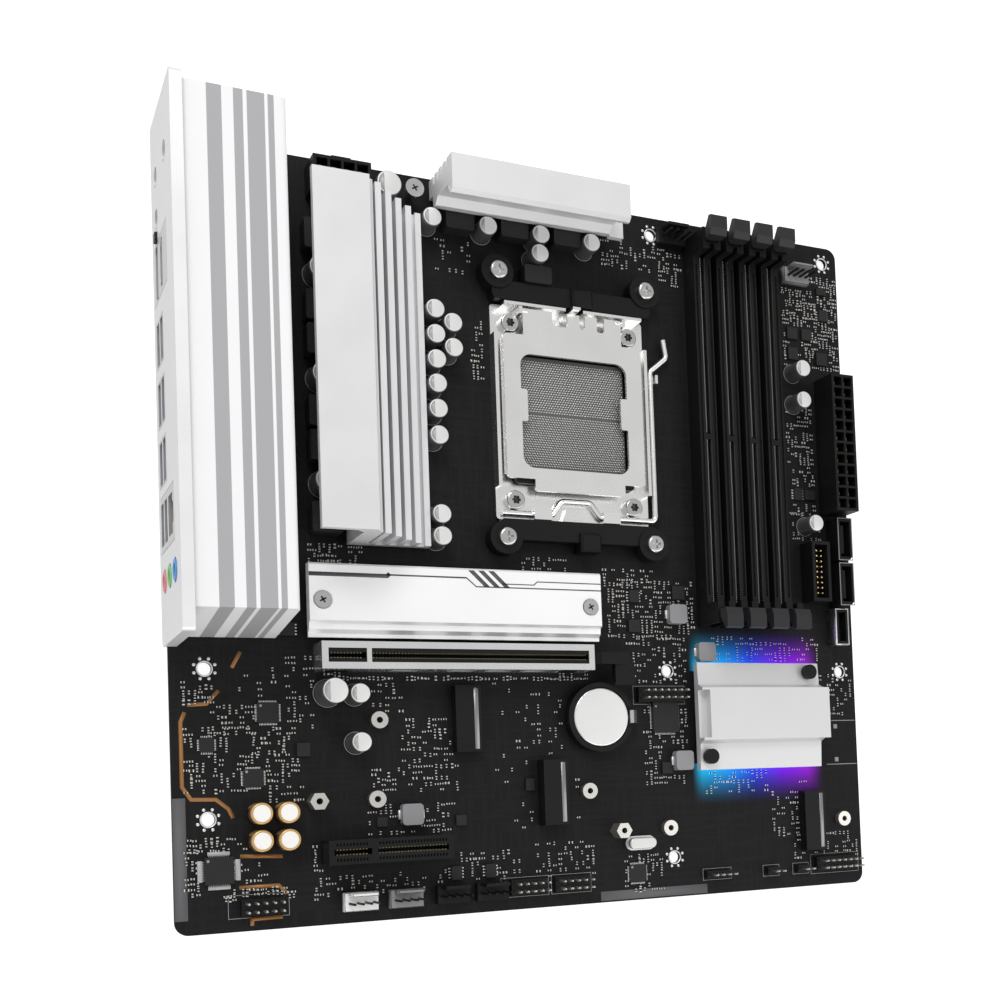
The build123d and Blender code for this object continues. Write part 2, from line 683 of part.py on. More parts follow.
# steel plate under the socket with four tapped studs that reach up through the board
back_t = 1.6
stud_r = 2.0
with BuildPart() as cpu_backplate:
    with BuildSketch(Plane.XY.offset(-board_t - back_t)):
        with Locations((cooler_x, cooler_y)):
            RectangleRounded(66.0, 100.0, 6.0)
            RectangleRounded(40.0, 46.0, 6.0, mode=Mode.SUBTRACT)
            with Locations((-33.0, 0), (33.0, 0)):
                SlotOverall(44.0, 13.0, rotation=90, mode=Mode.SUBTRACT)
    extrude(amount=back_t)
    with BuildSketch(Plane.XY.offset(-board_t)):
        with Locations((cooler_x, cooler_y)):
            with GridLocations(cooler_dx, cooler_dy, 2, 2):
                Circle(stud_r)
    extrude(amount=board_t + 2.0)
    with BuildSketch(Plane.XY.offset(-board_t - back_t)):
        with Locations((cooler_x, cooler_y)):
            with GridLocations(cooler_dx, cooler_dy, 2, 2):
                Circle(1.55)
        with Locations((socket_x, socket_y)):
            with GridLocations(socket_screw_dx, socket_screw_dy, 2, 2):
                Circle(1.5)
    extrude(amount=back_t + board_t + 2.0, mode=Mode.SUBTRACT)
save(cpu_backplate, "cpu_backplate")

# ---------------------------------------------------------------- memory slots
# A long trough between two end towers. Each tower is a pair of cheeks with a latch
# hinged between them on a pin, and the latch tips outward to free the module.
cheek_t = 1.15
latch_w = dimm_w - 2 * cheek_t - 2 * fit
pin_r = 0.8
dimm_key_y = -80.1
dimm_mid = (dimm_top_y + dimm_low_y) / 2
dimm_l = dimm_top_y - dimm_low_y
groove_w = 1.8
for number in range(4):
    x = dimm_x + dimm_pitch * number
    with BuildPart() as slot:
        with Locations((x, dimm_mid, dimm_h / 2)):
            Box(dimm_w, dimm_l - 2 * tower_l, dimm_h)
        with Locations((x, dimm_top_y - tower_l / 2, tower_h / 2),
                       (x, dimm_low_y + tower_l / 2, tower_h / 2)):
            Box(dimm_w, tower_l, tower_h)
        # module groove, broken by the key
        with BuildSketch(Plane.XY.offset(tower_h)):
            with Locations((x, (dimm_top_y - 5.6 + dimm_key_y + 1.0) / 2)):
                Rectangle(groove_w, dimm_top_y - 5.6 - dimm_key_y - 1.0)
            with Locations((x, (dimm_low_y + 5.6 + dimm_key_y - 1.0) / 2)):
                Rectangle(groove_w, dimm_key_y - 1.0 - dimm_low_y - 5.6)
        extrude(amount=-(tower_h - 1.6), mode=Mode.SUBTRACT)
        # rows of contact windows along both sides of the trough
        with BuildSketch(Plane.XY.offset(dimm_h)):
            with Locations((x - 2.5, dimm_mid), (x + 2.5, dimm_mid)):
                Rectangle(0.9, dimm_l - 2 * tower_l - 6.0)
        extrude(amount=-0.6, mode=Mode.SUBTRACT)
        # space between the cheeks
        with Locations((x, dimm_top_y - 2.6, tower_h / 2), (x, dimm_low_y + 2.6, tower_h / 2)):
            Box(latch_w + 2 * fit, 5.2, tower_h, mode=Mode.SUBTRACT)
        with BuildSketch(Plane.YZ.offset(x - dimm_w / 2)):
            with Locations((dimm_top_y - latch_axis_in, latch_axis_z),
                           (dimm_low_y + latch_axis_in, latch_axis_z)):
                Circle(pin_r + 0.1)
        extrude(amount=dimm_w, mode=Mode.SUBTRACT)
    save(slot, f"dimm_slot_{number + 1}")
    for end, y, out in (("top", dimm_top_y, 1), ("bottom", dimm_low_y, -1)):
        axis_y = y - out * latch_axis_in
        with BuildPart() as latch:
            with BuildSketch(Plane.YZ.offset(x - latch_w / 2)):
                with BuildLine():
                    Polyline((axis_y - out * 1.2, latch_axis_z), (axis_y - out * 1.4, 17.6),
                             (axis_y - out * 1.4, 21.6), (axis_y + out * 1.0, 22.6), (axis_y + out * 1.6, 17.6),
                             (axis_y + out * 1.2, latch_axis_z), close=True)
                make_face()
                with Locations((axis_y, latch_axis_z)):
                    Circle(1.2)
            extrude(amount=latch_w)
            with BuildSketch(Plane.YZ.offset(x - 3.2)):
                with BuildLine():
                    Polyline((axis_y - out * 1.4, 17.6), (axis_y - out * 1.4, 21.6), (axis_y + out * 1.0, 22.6),
                             (axis_y + out * 5.4, 22.6), (axis_y + out * 5.8, 20.8), (axis_y + out * 1.6, 17.6),
                             close=True)
                make_face()
            extrude(amount=6.4)
            with BuildSketch(Plane.YZ.offset(x - latch_w / 2 - 0.9)):
                with Locations((axis_y, latch_axis_z)):
                    Circle(pin_r)
            extrude(amount=latch_w + 1.8)
        save(latch, f"dimm_latch_{end}_{number + 1}")

# ---------------------------------------------------------------- expansion slots
key_x = slot_x + 14.0        # the short section nearest the rear edge, then the key
shell_t = 0.5


def expansion_slot(length, y):
    with BuildPart() as made:
        with Locations((slot_x + length / 2, y, slot_h / 2)):
            Box(length, slot_w, slot_h)
        with BuildSketch(Plane.XY.offset(slot_h)):
            with Locations(((slot_x + 1.6 + key_x - 0.9) / 2, y)):
                Rectangle(key_x - 0.9 - slot_x - 1.6, 1.9)
            with Locations(((key_x + 0.9 + slot_x + length - 1.6) / 2, y)):
                Rectangle(slot_x + length - 1.6 - key_x - 0.9, 1.9)
        extrude(amount=-8.6, mode=Mode.SUBTRACT)
    return made


pcie_x16_slot = expansion_slot(x16_l, x16_y)
save(pcie_x16_slot, "pcie_x16_slot")
pcie_x4_slot = expansion_slot(x4_l, x4_y)
save(pcie_x4_slot, "pcie_x4_slot")

# steel shell round the long slot, with cut-away stretches along both sides
with BuildPart() as pcie_x16_shell:
    with BuildSketch(Plane.XY):
        with Locations((slot_x + x16_l / 2, x16_y)):
            Rectangle(x16_l + 2 * shell_t, slot_w + 2 * shell_t)
            Rectangle(x16_l, slot_w, mode=Mode.SUBTRACT)
    extrude(amount=slot_h)
    with BuildSketch(Plane.XY.offset(slot_h)):
        with Locations((slot_x + x16_l / 2, x16_y)):
            Rectangle(x16_l + 2 * shell_t, slot_w + 2 * shell_t)
            Rectangle(x16_l - 3.0, 4.4, mode=Mode.SUBTRACT)
        with Locations((key_x, x16_y)):
            Rectangle(1.5, 4.6)
    extrude(amount=shell_t)
    with BuildSketch(Plane.XZ.offset(-x16_y - 8)):
        with Locations((slot_x + 26.5, 7.2), *[(slot_x + 45.2 + 12.4 * i, 7.2) for i in range(4)]):
            Rectangle(8.6, 8.0)
        with Locations((slot_x + 6.0, 3.0), (slot_x + x16_l - 6.0, 3.0)):
            Rectangle(7.0, 6.2)
    extrude(amount=16, mode=Mode.SUBTRACT)
save(pcie_x16_shell, "pcie_x16_shell")

# card latch at the front end of the long slot, pressed down to free the card
arm_y = x16_y
arm_x0 = slot_x + x16_l + shell_t + 0.3
with BuildPart() as pcie_x16_latch:
    with BuildSketch(Plane.XZ.offset(-arm_y - 2.0)):
        with BuildLine():
            Polyline((arm_x0, 3.0), (arm_x0, 7.6), (arm_x0 + 3.0, 10.2), (arm_x0 + 14.0, 8.6),
                     (arm_x0 + 14.0, 6.6), (arm_x0 + 4.0, 6.4), (arm_x0 + 3.0, 3.0), close=True)
        make_face()
    extrude(amount=4.0)
    with BuildSketch(Plane.XY.offset(5.6)):
        with Locations((arm_x0 + 12.0, arm_y - 4.4)):
            RectangleRounded(7.0, 9.4, 1.0)
    extrude(amount=3.0)
save(pcie_x16_latch, "pcie_x16_latch")

# ---------------------------------------------------------------- solid-state drive heatsink and sockets
armor_x0 = 39.8
armor_x1 = 136.8
armor_y1 = -131.4
armor_y0 = -154.4
armor_h = 9.0
armor_z0 = 4.8
armor_screws = [(43.9, -143.0), (132.9, -143.0)]
with BuildPart() as m2_armor:
    with BuildSketch(Plane.YZ.offset(armor_x0)):
        with BuildLine():
            Polyline((armor_y1, armor_z0), (armor_y1, armor_h - 0.6), (armor_y1 - 0.6, armor_h),
                     (armor_y0 + 5.0, armor_h), (armor_y0 + 4.2, armor_h - 1.4), (armor_y0 + 2.4, armor_h - 1.6),
                     (armor_y0 + 1.2, armor_h - 3.0), (armor_y0, armor_h - 3.0), (armor_y0, armor_z0),
                     close=True)
        make_face()
    extrude(amount=armor_x1 - armor_x0)
    with BuildSketch(Plane.XY.offset(armor_h)):
        with Locations(*armor_screws):
            Circle(2.9)
    extrude(amount=-0.9, mode=Mode.SUBTRACT)
    with BuildSketch(Plane.XY.offset(armor_h)):
        with Locations(*armor_screws):
            Circle(1.4)
    extrude(amount=-armor_h, mode=Mode.SUBTRACT)
save(m2_armor, "m2_armor")

with BuildPart() as heatsink_screws:
    with BuildSketch(Plane.XY.offset(armor_h - 0.9)):
        with Locations(*armor_screws):
            Circle(2.7)
    extrude(amount=1.3)
    with BuildSketch(Plane.XY.offset(armor_h - 0.9)):
        with Locations(*armor_screws):
            Circle(1.2)
    extrude(amount=-armor_h + 0.9)
    with BuildSketch(Plane.XY):
        with Locations((77.0, -7.6)):
            Circle(1.3)
    extrude(amount=7.0)
    with BuildSketch(Plane.XY.offset(7.0)):
        with Locations((77.0, -7.6)):
            Circle(3.0)
    extrude(amount=2.0)
save(heatsink_screws, "heatsink_screws")

m2_w = 8.6
m2_l = 21.9
m2_low = [(90.6, -180.1), (221.6, -219.4)]
m2_tall = (119.4, -205.3)
m2_hidden = (128.0, -143.0)
with BuildPart() as m2_sockets:
    for x, y, h in [(*m2_low[0], 4.2), (*m2_low[1], 4.2), (*m2_tall, 6.0)]:
        with Locations((x, y, h / 2)):
            Box(m2_w, m2_l, h)
        with Locations((x - m2_w / 2 + 3.0, y, h - 1.6)):
            Box(6.0, m2_l - 2.2, 1.4, mode=Mode.SUBTRACT)
    with Locations((*m2_hidden, 1.8)):
        Box(6.0, m2_l - 2.0, 3.6)
save(m2_sockets, "m2_sockets")

# threaded inserts and hexagonal standoffs for drive screws
insert_r = 2.7
insert_h = 2.4
insert_bore = 1.0
hex_h = 6.0
inserts = [(62.0, -180.1), (60.6, -205.3), (133.0, -205.3), (163.0, -219.4), (235.4, -219.4)]
hex_standoffs = [(41.8, -205.3), (143.6, -219.4)]
with BuildPart() as m2_standoffs:
    with BuildSketch(Plane.XY):
        with Locations(*inserts):
            Circle(insert_r)
            Circle(insert_bore, mode=Mode.SUBTRACT)
    extrude(amount=insert_h)
    with BuildSketch(Plane.XY):
        with Locations(*hex_standoffs):
            RegularPolygon(2.9, 6)
            Circle(insert_bore, mode=Mode.SUBTRACT)
    extrude(amount=hex_h)
save(m2_standoffs, "m2_standoffs")

# ---------------------------------------------------------------- chipset heatsink
sink_x = 174.0
slab_l = 50.2
push_pin_r = 1.45
push_pins_at = [(219.4, -164.6), (177.4, -194.8)]
with BuildPart() as chipset_heatsink:
    with BuildSketch(Plane.YZ.offset(sink_x)):
        with BuildLine():
            Polyline((-161.3, 3.0), (-161.3, 5.6), (-169.2, 6.2), (-170.4, 9.4), (-189.0, 9.4), (-190.2, 6.2),
                     (-199.5, 5.6), (-199.5, 3.0), close=True)
        make_face()
    extrude(amount=slab_l)
    with BuildSketch(Plane.YZ.offset(sink_x + slab_l)):
        with BuildLine():
            Polyline((-170.4, 6.8), (-170.4, 9.4), (-189.0, 9.4), (-189.0, 6.8), close=True)
        make_face()
    extrude(amount=2.4)
    # hollow under the raised band and the bevelled notch at its rear end
    with Locations((sink_x + 1.5, -179.7, 7.6)):
        Box(3.0, 17.0, 3.6 + 0.1, mode=Mode.SUBTRACT)
    with BuildSketch(Plane.XY.offset(3.0)):
        with Locations(*push_pins_at):
            Circle(push_pin_r + fit)
    extrude(amount=4.0, mode=Mode.SUBTRACT)
save(chipset_heatsink, "chipset_heatsink")

with BuildPart() as push_pins:
    with BuildSketch(Plane.XY):
        with Locations(*push_pins_at):
            Circle(push_pin_r)
    extrude(amount=6.4)
    with BuildSketch(Plane.XY.offset(6.4)):
        with Locations(*push_pins_at):
            Circle(2.7)
    extrude(amount=2.2)
save(push_pins, "push_pins")

# ---------------------------------------------------------------- battery
cup_r = 11.9
cup_h = 4.6
with BuildPart() as battery_holder:
    with BuildSketch(Plane.XY):
        with Locations((cell_x, cell_y)):
            Circle(cup_r)
    extrude(amount=cup_h)
    with BuildSketch(Plane.XY.offset(1.4)):
        with Locations((cell_x, cell_y)):
            Circle(cell_r + 0.25)
        # mouth at the front side where the spring clip stands
        with Locations((cell_x + cup_r, cell_y)):
            Rectangle(8.0, 7.0)
    extrude(amount=cup_h, mode=Mode.SUBTRACT)
save(battery_holder, "battery_holder")

with BuildPart() as battery_cell:
    with BuildSketch(Plane.XY.offset(1.5)):
        with Locations((cell_x, cell_y)):
            Circle(cell_r - 0.6)
    extrude(amount=0.6)
    with BuildSketch(Plane.XY.offset(2.1)):
        with Locations((cell_x, cell_y)):
            Circle(cell_r)
    extrude(amount=cell_t - 0.6)
    fillet(battery_cell.faces().sort_by(Axis.Z)[-1:].edges(), radius=0.5)
save(battery_cell, "battery_cell")

clip_x = cell_x + cell_r + 0.5
with BuildPart() as battery_clip:
    with BuildSketch(Plane.XZ.offset(-cell_y - 2.2)):
        with BuildLine():
            Polyline((clip_x, 1.6), (clip_x, 5.2), (clip_x + 0.9, 6.2), (clip_x + 2.6, 4.8), (clip_x + 2.6, 4.2),
                     (clip_x + 0.9, 5.0), (clip_x + 0.6, 4.8), (clip_x + 0.6, 1.6), close=True)
        make_face()
    extrude(amount=4.4)
save(battery_clip, "battery_clip")

# ---------------------------------------------------------------- board edge connectors
sata_x = 237.2
sata_ys = (-114.4, -131.4)
with BuildPart() as sata_ports:
    for y in sata_ys:
        with BuildSketch(Plane.XY):
            with BuildLine():
                Polyline((sata_x - 3.1, y - 8.0), (sata_x + 1.6, y - 8.0), (sata_x + 3.1, y - 6.4),
                         (sata_x + 3.1, y + 8.0), (sata_x - 3.1, y + 8.0), close=True)
            make_face()
        extrude(amount=8.6)
    with BuildSketch(Plane.XY.offset(8.6)):
        with Locations(*[(sata_x, y) for y in sata_ys]):
            Rectangle(4.2, 13.4)
    extrude(amount=-6.4, mode=Mode.SUBTRACT)
    with BuildSketch(Plane.XY.offset(2.2)):
        with Locations(*[(sata_x - 0.6, y) for y in sata_ys]):
            Rectangle(1.2, 10.6)
    extrude(amount=5.2)
save(sata_ports, "sata_ports")

with BuildPart() as usb_headers:
    with Locations((226.2, -127.0, 4.4)):
        Box(7.8, 22.4, 8.8)
    with Locations((226.2, -127.0, 5.6)):
        Box(5.4, 20.0, 6.6, mode=Mode.SUBTRACT)
    with Locations((236.0, -147.2, 2.9)):
        Box(5.4, 13.4, 5.8)
    with Locations((236.0, -147.2, 3.9)):
        Box(3.2, 11.0, 4.0, mode=Mode.SUBTRACT)
save(usb_headers, "usb_headers")

# Pin headers: a low black base with square pins at 2.54 mm pitch.
header_pitch = 2.54
header_base_h = 2.5
header_pin_h = 8.6
headers = [(25.0, -236.6, 5, 2), (110.1, -236.4, 5, 2), (125.6, -236.4, 5, 2), (161.4, -172.4, 7, 2),
           (181.6, -236.8, 4, 1), (204.0, -237.0, 2, 1), (216.6, -237.0, 2, 1), (231.4, -235.8, 7, 2)]
with BuildPart() as pin_headers:
    for x, y, nx, ny in headers:
        with Locations((x, y, header_base_h / 2)):
            Box(nx * header_pitch, ny * header_pitch, header_base_h)
        with BuildSketch(Plane.XY.offset(header_base_h)):
            with Locations((x, y)):
                with GridLocations(header_pitch, header_pitch, nx, ny):
                    Rectangle(0.64, 0.64)
        extrude(amount=header_pin_h - header_base_h)
save(pin_headers, "pin_headers")

# four-pin fan and lighting headers: a base with a guide wall behind the pins
fan_headers_at = [(172.4, -6.6), (84.0, -237.0), (97.2, -237.0)]
light_headers_at = [(54.4, -237.2), (68.8, -237.2), (224.2, -13.6)]
with BuildPart() as fan_light_headers:
    for x, y in fan_headers_at + light_headers_at:
        with Locations((x, y, 1.6)):
            Box(10.6, 5.8, 3.2)
        with Locations((x, y + 2.4, 6.0)):
            Box(8.0, 1.0, 5.6)
        with BuildSketch(Plane.XY.offset(3.2)):
            with Locations((x, y - 0.4)):
                with GridLocations(header_pitch, header_pitch, 4, 1):
                    Rectangle(0.64, 0.64)
        extrude(amount=7.6)
save(fan_light_headers, "fan_light_headers")
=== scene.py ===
import bpy
import numpy as np
from bpy.props import FloatProperty, FloatVectorProperty, IntProperty, PointerProperty
from mathutils import Matrix, Vector
from mathutils.bvhtree import BVHTree


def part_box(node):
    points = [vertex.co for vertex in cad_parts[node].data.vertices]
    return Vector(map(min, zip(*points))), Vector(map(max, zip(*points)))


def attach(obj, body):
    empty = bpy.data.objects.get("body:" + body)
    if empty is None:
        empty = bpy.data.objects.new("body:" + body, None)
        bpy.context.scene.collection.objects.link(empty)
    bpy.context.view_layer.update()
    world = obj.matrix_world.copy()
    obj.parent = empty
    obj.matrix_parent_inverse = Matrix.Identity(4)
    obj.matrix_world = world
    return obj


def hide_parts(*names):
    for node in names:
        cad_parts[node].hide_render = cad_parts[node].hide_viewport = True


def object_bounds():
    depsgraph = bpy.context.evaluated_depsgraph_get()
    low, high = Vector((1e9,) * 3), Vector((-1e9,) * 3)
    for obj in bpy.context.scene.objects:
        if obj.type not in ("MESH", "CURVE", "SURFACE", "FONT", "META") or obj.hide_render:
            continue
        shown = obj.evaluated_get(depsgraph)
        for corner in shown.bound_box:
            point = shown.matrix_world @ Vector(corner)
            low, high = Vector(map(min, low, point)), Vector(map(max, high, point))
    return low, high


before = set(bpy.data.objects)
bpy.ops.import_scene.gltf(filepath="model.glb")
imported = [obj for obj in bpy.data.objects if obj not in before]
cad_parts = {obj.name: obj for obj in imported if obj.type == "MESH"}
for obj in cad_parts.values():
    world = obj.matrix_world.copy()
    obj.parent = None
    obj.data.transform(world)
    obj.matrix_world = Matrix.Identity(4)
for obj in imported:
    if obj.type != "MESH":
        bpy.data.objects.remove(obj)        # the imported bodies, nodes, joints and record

bl_info = {
    "name": "Motherboard finish",
    "version": (1, 0, 0),
    "blender": (4, 5, 0),
    "location": "3D View > Sidebar > Board",
    "description": "Surface finishes, small components and printing of a computer motherboard",
    "category": "Object",
}

CAD_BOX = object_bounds()
MM = 0.001
BOARD_LOW, BOARD_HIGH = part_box("pcb")
CORNER = np.array((BOARD_LOW.x, BOARD_HIGH.y, BOARD_HIGH.z))
BOARD = (BOARD_HIGH.x - BOARD_LOW.x) / MM
MOUNTING_HOLES = [(33.02, 6.35), (165.1, 6.35), (237.49, 6.35), (10.16, 163.83), (165.1, 163.83),
                  (237.49, 163.83), (10.16, 209.55), (165.1, 229.87)]
HOLE_CLEARANCE = 4.6     # mm, centre of a mounting hole to the centre of a small part
EDGE_CLEARANCE = 1.2     # mm, edge of the board to the centre of a small part
PART_CLEARANCE = 0.85    # mm, surface of a CAD piece to the centre of a small part
LARGE_SHARE = 0.12       # share of the small parts that are made larger
LARGE_SCALE = 1.35       # how many times larger those are
BODY_SHARE = 0.62        # body of a small part, as a share of its length
END_SHARE = 0.3          # metal end of a small part, as a share of its length
END_PLACE = 0.42         # centre of a small part to the centre of its end, as a share of its length
END_WIDTH = 1.06         # width of the end against the body's
SETTLED = {}             # name: material, its node tree, shader, tone node and place socket


# ------------------------------------------------------------------ places and surfaces
# Lengths are millimetres. A place is (x, y) with x in from the rear edge and y down from
# the processor edge; heights are above the component side.

def node_span(name):
    """Lowest and highest corner of a CAD node in board millimetres, y counted downwards."""
    low, high = (np.array(corner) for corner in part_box(name))
    low, high = (low - CORNER) / MM, (high - CORNER) / MM
    return (low[0], -high[1], low[2]), (high[0], -low[1], high[2])


def in_frame(points):
    """Board millimetres, y already turned upwards, to metres in the shared frame."""
    return CORNER + np.asarray(points, float).reshape(-1, 3) * MM


def stack_faces(count, levels, around, caps=True):
    """Faces of solids that are stacks of rings: a quad for each step round and up, and an end cap below
    and above."""
    base = np.arange(count)[:, None, None] * levels * around
    up = np.arange(levels - 1)[None, :, None] * around
    turn = np.arange(around)[None, None, :]
    ahead = (turn + 1) % around
    low = base + up + turn
    low_ahead = base + up + ahead
    sides = np.stack([low, low_ahead, low_ahead + around, low + around], -1).reshape(-1, 4)
    if not caps:
        return [sides]
    first = (base[:, 0] + np.arange(around))[:, ::-1]
    last = base[:, 0] + (levels - 1) * around + np.arange(around)
    return [sides, first, last]


def joined(parts):
    """Several (points, faces) surfaces as one."""
    points, faces, shift = [], [], 0
    for part_points, part_faces in parts:
        points.append(part_points)
        faces += [face + shift for face in part_faces]
        shift += len(part_points)
    return np.concatenate(points), faces


def rings_to_solids(rings, caps=True):
    """rings is (solids, levels, points round, 3)."""
    count, levels, around, _ = rings.shape
    return rings.reshape(-1, 3), stack_faces(count, levels, around, caps)


def blocks(places, sizes, low, high, bevel=0.0, turn=0.0):
    """Blocks with a bevelled top: a rectangle carried straight up and then drawn in by the bevel at the top.
    turn is each block's angle in degrees."""
    places = np.atleast_2d(np.asarray(places, float))
    half = np.broadcast_to(np.asarray(sizes, float), places.shape) / 2
    signs = np.array([(1, -1), (1, 1), (-1, 1), (-1, -1)], float)
    outline = half[:, None] * signs
    drawn_in = outline - np.sign(signs) * bevel
    count = len(places)
    low, high = np.broadcast_to(low, count), np.broadcast_to(high, count)
    flat = np.stack([outline, outline, drawn_in] if bevel else [outline, outline], 1)
    heights = np.stack([low, high - bevel, high] if bevel else [low, high], 1)
    angle = np.radians(np.broadcast_to(turn, count))[:, None, None]
    x = flat[..., 0] * np.cos(angle) - flat[..., 1] * np.sin(angle) + places[:, 0, None, None]
    y = flat[..., 0] * np.sin(angle) + flat[..., 1] * np.cos(angle) - places[:, 1, None, None]
    z = np.broadcast_to(heights[..., None], x.shape)
    return rings_to_solids(np.stack([x, y, z], -1))


def turned(places, profile, sides=24, closed=False):
    """Round pieces: a profile of (radius, height) carried round a circle. A closed profile makes a ring."""
    places = np.atleast_2d(np.asarray(places, float))
    profile = np.asarray(profile + profile[:1] if closed else profile, float)
    angle = np.linspace(0, 2 * np.pi, sides, endpoint=False)
    x = places[:, 0, None, None] + profile[None, :, None, 0] * np.cos(angle)
    y = -places[:, 1, None, None] + profile[None, :, None, 0] * np.sin(angle)
    z = np.broadcast_to(profile[None, :, None, 1], x.shape)
    return rings_to_solids(np.stack([x, y, z], -1), caps=not closed)


def plate(outline, low, high):
    """A flat plate: one outline of (x, y) places, carried straight up."""
    outline = np.asarray(outline, float) * (1, -1)
    area = np.sum(outline[:, 0] * np.roll(outline[:, 1], -1) - outline[:, 1] * np.roll(outline[:, 0], -1))
    if area < 0:
        outline = outline[::-1]
    ring = np.concatenate([outline, np.zeros((len(outline), 1))], 1)
    return rings_to_solids(np.stack([ring + (0, 0, low), ring + (0, 0, high)])[None])


def ribbon(path, width, low, high, closed=False):
    """A band of even width along a path, its corners mitred: at each point both edges stand half a width out
    along the bisector, divided by the cosine of half the turn."""
    path = np.asarray(path, float) * (1, -1)
    step = np.roll(path, -1, 0) - path
    step /= np.linalg.norm(step, axis=1, keepdims=True)
    before = np.roll(step, 1, 0)
    if not closed:
        before[0], step[-1] = step[0], before[-1]
    normal = np.stack([-(before + step)[:, 1], (before + step)[:, 0]], 1)
    normal /= np.linalg.norm(normal, axis=1, keepdims=True)
    across = np.stack([-step[:, 1], step[:, 0]], 1)
    reach = width / 2 / np.clip(np.sum(normal * across, 1), 0.3, 1)
    left, right = path + normal * reach[:, None], path - normal * reach[:, None]
    corners = [np.column_stack([side, np.full(len(side), z)])
               for side, z in ((right, low), (left, low), (left, high), (right, high))]
    rings = np.stack(corners, 1)[None]
    if closed:
        return rings_to_solids(np.concatenate([rings, rings[:, :1]], 1), caps=False)
    points, faces = rings_to_solids(rings)
    return points, [face[:, ::-1] for face in faces]


def arc(centre, radius, start, end, steps=12):
    """Places along a round stretch, angles in degrees, counter-clockwise seen from above."""
    angle = np.radians(np.linspace(start, end, steps))
    return [(centre[0] + radius * c, centre[1] - radius * s) for c, s in zip(np.cos(angle), np.sin(angle))]


def grid(centre, pitch, counts):
    """Places of a rectangular grid about a centre."""
    x = (np.arange(counts[0]) - (counts[0] - 1) / 2) * pitch[0] + centre[0]
    y = (np.arange(counts[1]) - (counts[1] - 1) / 2) * pitch[1] + centre[1]
    return np.stack(np.meshgrid(x, y), -1).reshape(-1, 2)


def put(name, surface, material, body="board", smooth=False, replaced=()):
    """A surface as a finished piece that rides on a CAD body."""
    points, faces = surface
    loops = np.concatenate([face.ravel() for face in faces]).astype(np.int32)
    sizes = np.concatenate([np.full(len(face), face.shape[1]) for face in faces])
    mesh = bpy.data.meshes.new(name)
    mesh.vertices.add(len(points))
    mesh.vertices.foreach_set("co", in_frame(points).astype(np.float32).ravel())
    mesh.loops.add(len(loops))
    mesh.loops.foreach_set("vertex_index", loops)
    mesh.polygons.add(len(sizes))
    mesh.polygons.foreach_set("loop_start", (np.cumsum(sizes) - sizes).astype(np.int32))
    mesh.update(calc_edges=True)
    if mesh.validate():
        raise RuntimeError(f"{name} has faces that do not close")
    mesh.materials.append(material)
    piece = bpy.data.objects.new(name, mesh)
    bpy.context.scene.collection.objects.link(piece)
    if smooth:
        mesh.shade_smooth()
        mesh.set_sharp_from_angle(angle=np.radians(35))
    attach(piece, body)
    if replaced:
        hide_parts(*replaced)
    return piece


# ------------------------------------------------------------------ shared effects
def new_group(name, inputs, outputs):
    """An empty shader group with named sockets; inputs and outputs are (name, type, default)."""
    group = bpy.data.node_groups.new(name, "ShaderNodeTree")
    for label, kind, default in inputs:
        socket = group.interface.new_socket(label, in_out="INPUT", socket_type=kind)
        if default is not None:
            socket.default_value = default
    for label, kind in outputs:
        group.interface.new_socket(label, in_out="OUTPUT", socket_type=kind)
    return group, group.nodes.new("NodeGroupInput"), group.nodes.new("NodeGroupOutput")


def math_node(tree, operation, first, second=None):
    node = tree.nodes.new("ShaderNodeMath")
    node.operation = operation
    for index, value in enumerate((first, second)):
        if value is None:
            continue
        if isinstance(value, bpy.types.NodeSocket):
            tree.links.new(value, node.inputs[index])
        else:
            node.inputs[index].default_value = value
    return node.outputs[0]


def grain_group():
    """Fine surface grain over slow blotches: two noises, one for height, one for tone."""
    group, given, out = new_group(
        "surface_grain",
        [("Vector", "NodeSocketVector", None), ("Grain", "NodeSocketFloat", 3000.0),
         ("Blotch", "NodeSocketFloat", 60.0), ("Depth", "NodeSocketFloat", 0.5)],
        [("Height", "NodeSocketFloat"), ("Tone", "NodeSocketFloat")])
    fine = group.nodes.new("ShaderNodeTexNoise")
    slow = group.nodes.new("ShaderNodeTexNoise")
    fine.inputs["Detail"].default_value = 2.0
    slow.inputs["Detail"].default_value = 4.0
    for node, scale in ((fine, "Grain"), (slow, "Blotch")):
        group.links.new(given.outputs["Vector"], node.inputs["Vector"])
        group.links.new(given.outputs[scale], node.inputs["Scale"])
    height = math_node(group, "MULTIPLY", fine.outputs["Fac"], given.outputs["Depth"])
    group.links.new(height, out.inputs["Height"])
    blend = math_node(group, "MULTIPLY", slow.outputs["Fac"], 0.75)
    group.links.new(math_node(group, "ADD", blend, math_node(group, "MULTIPLY", fine.outputs["Fac"], 0.25)),
                    out.inputs["Tone"])
    return group


def band_group():
    """1 between two values of a coordinate and 0 outside them."""
    group, given, out = new_group(
        "printed_band",
        [("Value", "NodeSocketFloat", 0.0), ("Start", "NodeSocketFloat", 0.0), ("End", "NodeSocketFloat", 1.0)],
        [("Mask", "NodeSocketFloat")])
    above = math_node(group, "GREATER_THAN", given.outputs["Value"], given.outputs["Start"])
    below = math_node(group, "LESS_THAN", given.outputs["Value"], given.outputs["End"])
    group.links.new(math_node(group, "MULTIPLY", above, below), out.inputs["Mask"])
    return group


